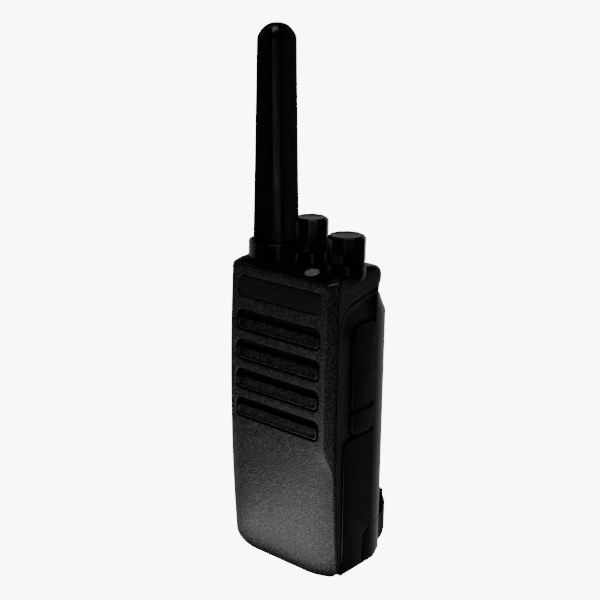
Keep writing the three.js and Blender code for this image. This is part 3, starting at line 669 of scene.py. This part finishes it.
def matched(shape, pattern):
    """Points of a shape taken at the same shares of its corners and sides as the pattern's."""
    corners = 11
    lengths = [2 * (SLOT_HALF - SLOT_RADIUS), 2 * (SLOT_HALF_HEIGHT - SLOT_RADIUS)] * 2
    left = len(pattern) - 4 * corners
    sides = [round(left * length / sum(lengths)) for length in lengths]
    sides[0] += left - sum(sides)
    result = []
    for i in range(4):
        arc = shape[i * corners:(i + 1) * corners]
        result += list(arc)
        a, b = arc[-1], shape[((i + 1) * corners) % len(shape)]
        result += [a + (b - a) * (k + 1) / (sides[i] + 1) for k in range(sides[i])]
    return np.array(result)


def plate_tool():
    p = PLATE
    rings, marks = [], []
    for distance, depth in [(-0.8, -0.7), (-0.5, -0.06), (-0.28, 0.05), (-0.12, 0.18), (-0.03, 0.36),
                            (0.0, 0.6), (0.02, 0.85), (0.3, 0.9)]:
        shape = rounded_rectangle(-p["half"] + distance, p["half"] - distance, p["low"] + distance,
                                  p["high"] - distance, p["radius"] - distance, 10)
        rings.append(on_front(shape, depth))
        marks.append(TEXTURED if distance < 0 else SMOOTH)
    return build("tool", rings, CASE, marks[1:])


def side_tool(front, back, low, high, radii, floor, rim, side=1):
    """A pocket in a side wall with a rounded rim."""
    shape = pocket(front, back, low, high, radii)
    levels = [(-1.4 * rim, -1.2), (-rim, -0.06), (-0.5 * rim, 0.1 * rim), (-0.15 * rim, 0.45 * rim),
              (0, rim), (0, floor)]
    rings = [ring(inset(shape, distance), "X", side * (HALF_WIDTH - depth)) for distance, depth in levels]
    return build("tool", rings, CASE, [TEXTURED] * 4 + [SMOOTH])


def hollow():
    """The space inside the housing, open to the back below the cap."""
    def section(z):
        drop = bow(z) + FRONT_WALL
        half, edge = HALF_WIDTH - WALL, CHAMFER
        back = CAP_BACK - 1.8
        y = FRONT + drop
        return fillet([(-half + edge, y, 0.8), (half - edge, y, 0.8), (half, y + edge, 0.8),
                       (half, back, 4.0), (-half, back, 4.0), (-half, y + edge, 0.8)], 4)

    levels = [(z, 0.0) for z in np.arange(6.0, 121.1, 5.0)] + [(122.6, 0.6), (123.3, 1.8)]
    rings = [ring(inset(section(2.2), 3.5), "Z", 2.2), ring(inset(section(3.5), 1.2), "Z", 3.5)]
    rings += [ring(inset(section(z), shrink), "Z", z) for z, shrink in levels]
    return build("tool", rings, CASE, [SMOOTH] * (len(rings) - 1))


def back_tool():
    """Everything behind the housing's stepped back."""
    profile = fillet([(LOW_BACK, -5, 0), (60, -5, 0), (60, CAP_BASE, 0), (HIGH_BACK, CAP_BASE, 0.3),
                      (HIGH_BACK, SHELF, 0.3), (LOW_BACK, SHELF, 2.7)], 6)
    return build("tool", [ring(profile, "X", -40), ring(profile, "X", 40)], CASE, [SMOOTH])


def flare(r, tuck, swell, blend):
    """The foot of a round boss: it starts inside the deck and swells to a low lip on it."""
    return [(r - 2.5, 122.8), (r - tuck, 123.6), (r + swell, 125.4), (r + swell, 127.75),
            (r + blend, 128.0), (r, 128.3)]


def collar_rings():
    c, x = COLLAR, ANTENNA["x"]
    r = c["radius"]
    return turned(flare(r, 0.6, 0.25, 0.1) +
                  [(r, 129.0), (r - 0.04, c["top"] - 0.7), (r - 0.12, c["top"] - 0.32),
                   (r - 0.36, c["top"] - 0.08), (r - 0.62, c["top"]), (c["recess"] + 0.3, c["top"]),
                   (c["recess"] + 0.08, c["top"] - 0.08), (c["recess"], c["top"] - 0.3),
                   (c["recess"], ANTENNA["bottom"] - 0.3), (c["bore"] + 0.2, ANTENNA["bottom"] - 0.3),
                   (c["bore"], ANTENNA["bottom"] - 0.5), (c["bore"], 123.6)], x, CONTROL_Y)


def boss_rings(k):
    r, top = k["boss"], k["boss_top"]
    return turned(flare(r, 0.8, 0.2, 0.08) +
                  [(r, top - 0.65), (r - 0.08, top - 0.3), (r - 0.3, top - 0.08), (r - 0.6, top),
                   (4.8, top), (4.5, top - 0.3), (4.5, 123.6)], k["x"], CONTROL_Y)


def housing():
    case = housing_skin()
    combine(case, [hollow()])
    combine(case, [back_tool()])
    round_holes = [(ANTENNA["x"], COLLAR["bore"])] + [(k["x"], 4.5) for k in KNOBS.values()]
    deck_holes = [cylinder("Z", radius, (x, CONTROL_Y), 119, 130, CASE) for x, radius in round_holes]
    combine(case, deck_holes)
    rings = [build("tool", collar_rings(), CASE, [SMOOTH] * 18, closed=True)]
    rings += [build("tool", boss_rings(k), CASE, [SMOOTH] * 13, closed=True) for k in KNOBS.values()]
    combine(case, rings, "UNION")
    tools = [slot_tool(z) for z in SLOTS] + [plate_tool()]
    lens = circle(1.0) * (LENS["half_x"] + 0.12, LENS["half_y"] + 0.12)
    rim = circle(1.0) * (LENS["half_x"] + 0.42, LENS["half_y"] + 0.42)
    centre = (LENS["x"], LENS["y"])
    level = LENS["top"] - 0.3
    seat, brim = (level - 0.3 + lens[:, 1] * LENS["slope"], level + 0.1 + rim[:, 1] * LENS["slope"])
    lens_rings = [ring(lens, "Z", 120, centre), ring(lens, "Z", seat, centre),
                  ring(rim, "Z", brim, centre), ring(rim, "Z", 131, centre)]
    tools.append(build("tool", lens_rings, CASE, [SMOOTH] * 3))
    tools.append(side_tool(COVER["front"] - 0.95, COVER["back"] + 0.4, SHELF - 6, COVER["high"] + 0.5,
                           (3, 3, 4.0, 6.2), 1.75, 0.35))
    tools.append(side_tool(PTT["front"] - 0.3, PTT["back"] + 0.3, PTT["low"] - 0.3, PTT["high"] + 0.3,
                           (2.6,) * 4, 6, 0.5, -1))
    tools += [side_tool(-6.3, 2.3, low - 0.3, high + 0.3, (2.5,) * 4, 6, 0.4, -1)
              for low, high in SIDE_KEYS.values()]
    combine(case, tools)
    combine(case, [cylinder("X", radius, (2, z), HALF_WIDTH - 6, HALF_WIDTH + 1, CASE)
                   for z, radius in ((92, 2.6), (84, 2.1))])
    return place(case, "radio", "textured_case", "front_case")


housing()


def name_plate():
    p, clear = PLATE, 0.22
    shape = rounded_rectangle(-p["half"] + clear, p["half"] - clear, p["low"] + clear, p["high"] - clear,
                              p["radius"] - clear, 10)
    levels = [(0, 0.85), (0, 0.5), (0.04, 0.4), (0.14, 0.31), (0.3, 0.28)]
    rings = [on_front(inset(shape, distance), depth) for distance, depth in levels]
    return place(build("blank_plate", rings, [MATERIALS["inlay"]]), "radio", "inlay", "name_plate")


name_plate()


def status_lens():
    centre = (LENS["x"], LENS["y"])
    dome = [(1.0, -5.0), (1.0, -0.45), (0.985, -0.3), (0.93, -0.17), (0.82, -0.08), (0.62, -0.02), (0.3, 0.0)]
    rings = []
    for scale, drop in dome:
        shape = circle(scale) * (LENS["half_x"], LENS["half_y"])
        tilt = shape[:, 1] * LENS["slope"] * (drop > -1)
        rings.append(ring(shape, "Z", LENS["top"] + drop + tilt, centre))
    return place(build("lens_dome", rings, [MATERIALS["lens"]], sharp=60), "radio", "lens", "status_lens")


status_lens()


# ---------------------------------------------------------------- controls
def knob_outline(radius):
    """Ten flats with softened ridges between them."""
    turn = math.pi / KNOB_SIDES
    angles = [KNOB_TURN + turn * (2 * i + 1) for i in range(KNOB_SIDES)]
    corners = [(radius * math.sin(angle), -radius * math.cos(angle), 0.9) for angle in angles]
    return densify(fillet(corners, 4), 1.3)


def like(outline, radius):
    """A circle with a point for each of an outline's points."""
    return outline / np.linalg.norm(outline, axis=1, keepdims=True) * radius


def knob(name, k):
    shape = knob_outline(k["radius"])
    low, high, r = k["low"], k["high"], k["radius"]
    centre = (k["x"], CONTROL_Y)
    inner = [(SHAFT_BORE, high - 2), (SHAFT_BORE, low + 2.2), (5.8, low + 2.2), (5.8, low)]
    outer = [(0.45, low), (0.12, low + 0.1), (0.0, low + 0.4), (0.0, high - 1.35), (0.06, high - 1.12),
             (0.22, high - 0.92), (0.88, high - 0.2), (1.05, high - 0.06), (1.3, high), (2.0, high)]
    rings = [ring(like(shape, radius), "Z", z, centre) for radius, z in inner]
    rings += [ring(inset(shape, distance), "Z", z, centre) for distance, z in outer]
    rings += [ring(like(shape, radius), "Z", high - drop, centre)
              for radius, drop in ((r - 2.6, 0.06), (r - 3.1, 0.2), (r - 3.8, 0.28), (0.8, 0.28))]
    return build(name, rings, SATIN, sharp=24)


place(knob("channel_grip", KNOBS["channel"]), "channel_selector", "smooth_plastic", "channel_knob")
place(knob("volume_grip", KNOBS["volume"]), "volume_dial", "smooth_plastic", "volume_knob")


def antenna():
    a = ANTENNA
    half, flat = a["half"], a["half"] - a["cut"]
    corners = [(flat, -half), (half, -flat), (half, flat), (flat, half), (-flat, half), (-half, flat),
               (-half, -flat), (-flat, -half)]
    shape = densify(fillet([(u, v, 1.3) for u, v in corners], 5), 2.5)
    centre = (a["x"], CONTROL_Y)
    rings = [ring(like(shape, radius), "Z", z, centre)
             for radius, z in ((2.0, 207), (2.0, 143), (SHAFT_BORE, 143), (SHAFT_BORE, a["bottom"]))]
    crown = 6.5
    heights = [0, 0.15, 0.5, 1.0] + list(np.linspace(4, a["top"] - a["bottom"] - crown, 14))
    heights += [a["top"] - a["bottom"] - crown + crown * math.sin(t) for t in np.radians(np.arange(8, 89, 8))]
    for rise in heights:
        share = rise / (a["top"] - a["bottom"])
        scale = np.array((1 + (a["tip_x"] / half - 1) * share, 1 + (a["tip_y"] / half - 1) * share))
        close = max(0.0, (rise - (a["top"] - a["bottom"] - crown)) / crown)
        scale *= (1 - close ** 2.4) ** (1 / 2.4) * 0.98 + 0.02
        foot = 0.5 * (1 - math.sqrt(1 - (1 - min(rise, 0.5) / 0.5) ** 2))
        rounder = smooth(np.array(close))
        outline = shape * (1 - rounder) + like(shape, half * 0.97) * rounder
        rings.append(ring(inset(outline, foot) * scale, "Z", a["bottom"] + rise, centre))
    top = rings[-1].copy()
    top[:, 2] = a["top"]
    top[:, :2] = top[:, :2] * 0.35 + np.array(centre) * 0.65
    rings.append(top)
    piece = build("antenna_cover", rings, SATIN, sharp=50)
    return place(piece, "antenna", "smooth_plastic", "antenna_sheath")


antenna()


# ---------------------------------------------------------------- side keys
def press_key(name, front, back, low, high, outer, body, node, ribs):
    shape = rounded_rectangle(front, back, low, high, 2.2)
    key = build(name, slab(shape, "X", outer, -26, 0.9, 0.1), RUBBER)
    grooves = [build("tool", slab(rounded_rectangle(front + 1.6, back - 1.6, z - 0.35, z + 0.35, 0.34), "X",
                                  outer - 1, outer + 0.35, 0.1, 0.1), RUBBER) for z in ribs]
    combine(key, grooves)
    return place(key, body, "rubber", node)


middle = (PTT["low"] + PTT["high"]) / 2
press_key("talk_bar", PTT["front"], PTT["back"], PTT["low"], PTT["high"], PTT["outer"],
          "talk_key", "ptt_button", [middle + d for d in (-5.4, -3.6, -1.8, 0, 1.8, 3.6, 5.4)])
for node, body in (("side_key_upper", "upper_key"), ("side_key_lower", "lower_key")):
    low, high = SIDE_KEYS[node]
    press_key(node + "_cap", -6, 2, low, high, -28.5, body, node, [(low + high) / 2])


# ---------------------------------------------------------------- accessory cover
def cover():
    c = COVER
    for name, low, high, radii, body, node in (
            ("jack_cover", c["fold"] + 0.55, c["high"], (0.5, 0.5, 3.4, 5.4), "jack_flap", "accessory_cover"),
            ("jack_cover_anchor", c["low"], c["fold"] - 0.55, (3.7, 3.7, 0.5, 0.5), "radio",
             "accessory_cover_anchor")):
        shape = pocket(c["front"], c["back"], low, high, radii)
        piece = build(name, slab(shape, "X", c["inner"], c["outer"], 0.25, 0.75, 6), RUBBER)
        place(piece, body, "rubber", node)
    strip = rounded_rectangle(27.0, 27.7, c["front"] + 0.8, c["back"] - 0.8, 0.25, 3)
    rings = [ring(strip, "Z", c["fold"] + z) for z in np.linspace(-1.2, 1.2, 13)]
    web = build("jack_cover_fold", rings, RUBBER)
    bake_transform(web)


cover()


# ---------------------------------------------------------------- battery pack
def pack_loft(name, profile, materials, bottom_round=1.6):
    """A (y, z) profile carried across the pack, its rear drawn in along the quarter-ellipse corners."""
    corner_y = PACK_BACK - PACK_CORNER_Y
    levels = [0.0, 5.0, 10.0, 15.0] + [HALF_WIDTH - PACK_CORNER_X * (1 - math.sin(a))
                                       for a in np.linspace(0, math.pi / 2 - 0.02, 20)] + [HALF_WIDTH - 0.001]
    rings = []
    for x in [-level for level in levels[:0:-1]] + levels:
        out = max(0.0, (abs(x) - (HALF_WIDTH - PACK_CORNER_X)) / PACK_CORNER_X)
        draw = math.sqrt(max(0.0, 1 - out * out))
        y = np.where(profile[:, 0] > corner_y, corner_y + (profile[:, 0] - corner_y) * draw, profile[:, 0])
        beyond = max(0.0, abs(x) - HALF_WIDTH + bottom_round)
        lift = bottom_round - math.sqrt(max(0.0, bottom_round ** 2 - beyond ** 2))
        edge = 0.45 - math.sqrt(max(0.0, 0.45 ** 2 - max(0.0, abs(x) - HALF_WIDTH + 0.45) ** 2))
        shape = inset(np.stack([profile[:, 0], profile[:, 1]], 1), edge)
        moved_y = np.where(profile[:, 0] > corner_y - 1, y, shape[:, 0])
        z = np.maximum(np.where(profile[:, 0] > corner_y - 1, profile[:, 1], shape[:, 1]), lift)
        rings.append(ring(np.stack([moved_y, z], 1), "X", x))
    return build(name, rings, materials, sharp=32)


def battery():
    gap = 0.3
    outline = densify(fillet([
        (LOW_BACK + gap, 0, 0.5), (3.1, 0, 0.3), (3.1, 13.2, 1.5), (8.1, 17.3, 1.0), (PACK_BACK, 17.3, 0.5),
        (PACK_BACK, 108.4, 4.0), (14.1, PACK_TOP, 1.6), (HIGH_BACK + gap, PACK_TOP, 0.4),
        (HIGH_BACK + gap, SHELF - gap, 0.2), (LOW_BACK + gap, SHELF - gap, 3.0)], 6), 3.0)
    shell = pack_loft("pack_shell", outline, SATIN)
    inside = [block(-25.4, 25.4, LOW_BACK - 1, 1.4, 2, 57.5, SATIN, 0),
              block(-24.5, 24.5, 0, 16, 19, 57.4, SATIN, 0),
              block(-24, 24, HIGH_BACK - 1, 16, 62, 106, SATIN, 0),
              block(-26.2, 26.2, LOW_BACK - 1.5, LOW_BACK + 2.2, 1.4, 58, SATIN, 0),
              block(-25, 25, HIGH_BACK - 1.5, HIGH_BACK + 1.9, 61, 113, SATIN, 0)]
    for tool in inside:
        combine(shell, [tool], sharp=32)
    recess = rounded_rectangle(-15.5, 15.5, 24, 82, 3, 8)
    cut = build("tool", slab(recess, "Y", PACK_BACK - 0.5, PACK_BACK + 3, 0.3, 0.2), SATIN)
    combine(shell, [cut], sharp=32)
    return place(shell, "battery_pack", "smooth_plastic", "battery_shell")


battery()


def heel():
    base = densify(fillet([(3.4, 0, 0.2), (4.6, 0, 1.5), (15.5, 0.1, 4.0), (19.0, 1.4, 3.0), (21.5, 3.0, 0.3),
                           (21.5, 17, 0.3), (8.2, 17, 0.8), (3.4, 13, 1.2)], 6), 2.0)
    foot = pack_loft("pack_heel", np.clip(base, (-99, -99), (PACK_BACK, 99)), SATIN)
    side = densify(fillet([(16, 3, 0.2), (18, 3, 2.0), (21.3, 3.6, 3.0), (23.4, 5.6, 2.0), (24.3, 8.4, 2.5),
                           (24.3, 20.5, 4.0), (20.8, 29.0, 0.3), (20.8, 17, 0.2), (16, 17, 0.2)], 6), 2.5)
    spur = build("tool", slab(side, "X", -24, 24, 1.1, 1.1, 5), SATIN)
    combine(foot, [spur], "UNION", 32)
    combine(foot, [block(-9.3, 9.3, 7.7, 18.3, -1, 9.3, SATIN, 0)], sharp=32)
    return place(foot, "battery_pack", "smooth_plastic", "battery_heel")


heel()


def latch():
    plate = build("pack_latch_slide",
                  slab(rounded_rectangle(-9, 9, 8, 15.6, 0.8, 4), "Z", 4.4, 9, 0.4, 0.3), SATIN)
    grip = build("tool", slab(rounded_rectangle(-7, 7, 9, 11, 0.7, 4), "Z", 2.6, 5, 0.4, 0.1), SATIN)
    combine(plate, [grip], "UNION")
    return place(plate, "pack_latch", "smooth_plastic", "battery_latch")


latch()


# ---------------------------------------------------------------- belt clip
def bracket():
    base = build("clip_holder",
                 slab(rounded_rectangle(-11, 11, 90, 106, 2.2, 6), "Y", 20.8, 22.4, 0.05, 0.5), SATIN)
    ear = fillet([(21.2, 94.2, 0.3), (25.4, 94.6, 2.2), (27.0, 98, 2.0), (25.4, 101.4, 2.2),
                  (21.2, 101.8, 0.3)], 6)
    ears = [build("tool", slab(ear, "X", low, low + 1.6, 0.3, 0.3), SATIN) for low in (-11, 9.4)]
    combine(base, ears, "UNION")
    combine(base, [cylinder("X", 1.5, (CLIP["pin_y"], CLIP["pin_z"]), -12, 12, SATIN)])
    combine(base, [cylinder("Y", 1.7, (0, z), 18, 30, SATIN) for z in (93, 103)])
    return place(base, "battery_pack", "smooth_plastic", "clip_bracket")


def clip_arm():
    c = CLIP
    face = c["back"] - c["plate"]
    side = fillet([(face, c["high"], 0.5), (face, c["low"] + 8, 6.0), (face - 3.6, c["low"] + 3.4, 1.2),
                   (face - 2.4, c["low"] + 1.2, 0.8), (c["back"] - 1.4, c["low"] + 2.4, 2.0),
                   (c["back"], c["low"] + 7, 4.0), (c["back"], c["high"], 0.8)], 6)
    arm = build("clip_arm", slab(densify(side, 3.0), "X", -c["half"], c["half"], 0.7, 0.7, 5), SATIN)
    at = (c["pin_y"], c["pin_z"])
    barrel = slab(circle(2.4) + at, "X", -c["half"], c["half"], 0.3, 0.3)
    combine(arm, [build("tool", barrel, SATIN)], "UNION")
    combine(arm, [cylinder("X", c["pin"] + 0.3, at, -12, 12, SATIN)])
    combine(arm, [block(-4.9, 4.9, 20, c["back"] + 1, c["pin_z"] - 3.2, c["pin_z"] + 3.2, SATIN, 0)])
    ribs = [build("tool", slab(rounded_rectangle(-6, 6, z - 0.5, z + 0.5, 0.45, 4), "Y", c["back"] - 0.4,
                               c["back"] + 1, 0.2, 0.1), SATIN) for z in (103.6, 105.4, 107.2)]
    combine(arm, ribs)
    return place(arm, "clip", "smooth_plastic", "belt_clip")


def spring():
    """A coil round the pin."""
    wire, coil, turns = 0.34, 1.72, 10
    steps = 24 * turns
    path = [np.array((-4.0 + 8.0 * k / steps, CLIP["pin_y"] + coil * math.cos(2 * math.pi * k / 24),
                      CLIP["pin_z"] + coil * math.sin(2 * math.pi * k / 24))) for k in range(steps + 1)]
    rings = []
    for i, point in enumerate(path):
        along = path[min(i + 1, steps)] - path[max(i - 1, 0)]
        along /= np.linalg.norm(along)
        side = point - np.array((point[0], CLIP["pin_y"], CLIP["pin_z"]))
        side /= np.linalg.norm(side)
        other = np.cross(along, side)
        rings.append(np.array([point + wire * (math.cos(a) * side + math.sin(a) * other)
                               for a in np.linspace(0, 2 * math.pi, 8, endpoint=False)]))
    piece = build("clip_coil", rings, [MATERIALS["steel"]])
    return place(piece, "battery_pack", "steel", "clip_spring")


bracket()
clip_arm()
spring()

# ---------------------------------------------------------------- the CAD nodes that stay: a loop meant to give them their finish
# Known fault: the record's materials entries list no nodes, so this loop assigns nothing and the CAD nodes
# keep the importer's plain materials. The record pairs nodes with slots in its subparts entries instead.
for entry in frame["record"]["materials"]:
    for node in entry.get("nodes", []):
        if node in frame["nodes"]:
            data = frame["nodes"][node].data
            data.materials.clear()
            data.materials.append(MATERIALS[entry["slot"]])

# ---------------------------------------------------------------- floor, light and camera
SHEET = 12.0  # half the floor's width, in metres
floor_mesh = bpy.data.meshes.new("floor")
floor_mesh.from_pydata([(-SHEET, -SHEET, 0), (SHEET, -SHEET, 0), (SHEET, SHEET, 0), (-SHEET, SHEET, 0)], [],
                       [(0, 1, 2, 3)])
floor = bpy.data.objects.new("floor", floor_mesh)
bpy.context.scene.collection.objects.link(floor)
pale = Nodes("floor", (0.8, 0.8, 0.8), 0.9)
pale.set("Emission Color", (1, 1, 1, 1))
seen = pale.add("LightPath")
pale.link(pale.math("MULTIPLY", seen.outputs["Is Camera Ray"], 9.0), pale.shader.inputs["Emission Strength"])
floor_mesh.materials.append(pale.material)
floor.visible_glossy = False


def studio_world(seen_strength, behind_strength, front_strength, behind=(-0.62, 0.78, 0.0)):
    """White to the eye. What lights the object is a bright wall behind it and a dark room in front."""
    world = bpy.data.worlds.new("studio")
    bpy.context.scene.world = world
    world.use_nodes = True
    tree = world.node_tree
    nodes, link = tree.nodes, tree.links.new
    toward = nodes.new("ShaderNodeTexCoord").outputs["Generated"]
    facing = nodes.new("ShaderNodeVectorMath")
    facing.operation = "DOT_PRODUCT"
    facing.inputs[1].default_value = behind
    link(toward, facing.inputs[0])
    apart = nodes.new("ShaderNodeSeparateXYZ")
    link(toward, apart.inputs[0])
    shares = []
    for source, low, high in ((facing.outputs["Value"], 0.15, 0.7), (apart.outputs["Z"], 0.6, -0.1)):
        share = nodes.new("ShaderNodeMapRange")
        share.inputs["From Min"].default_value, share.inputs["From Max"].default_value = low, high
        link(source, share.inputs["Value"])
        shares.append(share.outputs["Result"])
    both = nodes.new("ShaderNodeMath")
    both.operation = "MULTIPLY"
    link(shares[0], both.inputs[0])
    link(shares[1], both.inputs[1])
    level = nodes.new("ShaderNodeMapRange")
    level.inputs["To Min"].default_value = front_strength
    level.inputs["To Max"].default_value = behind_strength
    link(both.outputs[0], level.inputs["Value"])
    lit, seen = nodes.new("ShaderNodeBackground"), nodes["Background"]
    link(level.outputs["Result"], lit.inputs["Strength"])
    seen.inputs["Color"].default_value = lit.inputs["Color"].default_value = (1, 1, 1, 1)
    seen.inputs["Strength"].default_value = seen_strength
    switch = nodes.new("ShaderNodeMixShader")
    link(nodes.new("ShaderNodeLightPath").outputs["Is Camera Ray"], switch.inputs["Fac"])
    link(lit.outputs[0], switch.inputs[1])
    link(seen.outputs[0], switch.inputs[2])
    link(switch.outputs[0], nodes["World Output"].inputs["Surface"])


def area_light(name, place, target, width, height, radiance):
    """A soft panel of even radiance, unseen by the camera."""
    light = bpy.data.lights.new(name, "AREA")
    light.shape, light.size, light.size_y = "RECTANGLE", width, height
    light.energy = radiance * math.pi * width * height
    lamp = bpy.data.objects.new(name, light)
    bpy.context.scene.collection.objects.link(lamp)
    lamp.location = place
    lamp.rotation_mode = "QUATERNION"
    lamp.rotation_quaternion = (Vector(target) - Vector(place)).to_track_quat("-Z", "Y")
    lamp.visible_camera = False
    return lamp


def around(azimuth, elevation, distance, height=0.09):
    a, e = math.radians(azimuth), math.radians(elevation)
    return (distance * math.sin(a) * math.cos(e), -distance * math.cos(a) * math.cos(e),
            height + distance * math.sin(e))


studio_world(10.0, 0.5, 0.002)
area_light("table", (0.006, -0.111, 0.0004), (0.006, -0.111, 1), 0.09, 0.179, 2.2)
area_light("strip", around(50, 4, 0.9), (0, 0, 0.09), 0.03, 0.8, 2.6)
area_light("side", around(-63, 12, 0.9), (0, 0, 0.09), 0.05, 0.9, 0.9)
area_light("overhead", (0.0, -0.05, 1.0), (0, 0, 0.1), 0.35, 0.35, 2.2)

camera_data = bpy.data.cameras.new("camera")
camera_data.sensor_width, camera_data.lens = 36, 67.69
camera_data.clip_start, camera_data.clip_end = 0.01, 50
camera = bpy.data.objects.new("camera", camera_data)
bpy.context.scene.collection.objects.link(camera)
azimuth, elevation, roll = math.radians(40.613), math.radians(16.429), math.radians(0.62)
back = Vector((math.sin(azimuth) * math.cos(elevation), -math.cos(azimuth) * math.cos(elevation),
               math.sin(elevation)))
level = Vector((math.cos(azimuth), math.sin(azimuth), 0))
above = back.cross(level)
right = level * math.cos(roll) + above * math.sin(roll)
above = above * math.cos(roll) - level * math.sin(roll)
turn = Matrix((right, above, back)).transposed()
camera.matrix_world = Matrix.Translation((0.28226, -0.33483, 0.23993)) @ turn.to_4x4()
bpy.context.scene.camera = camera
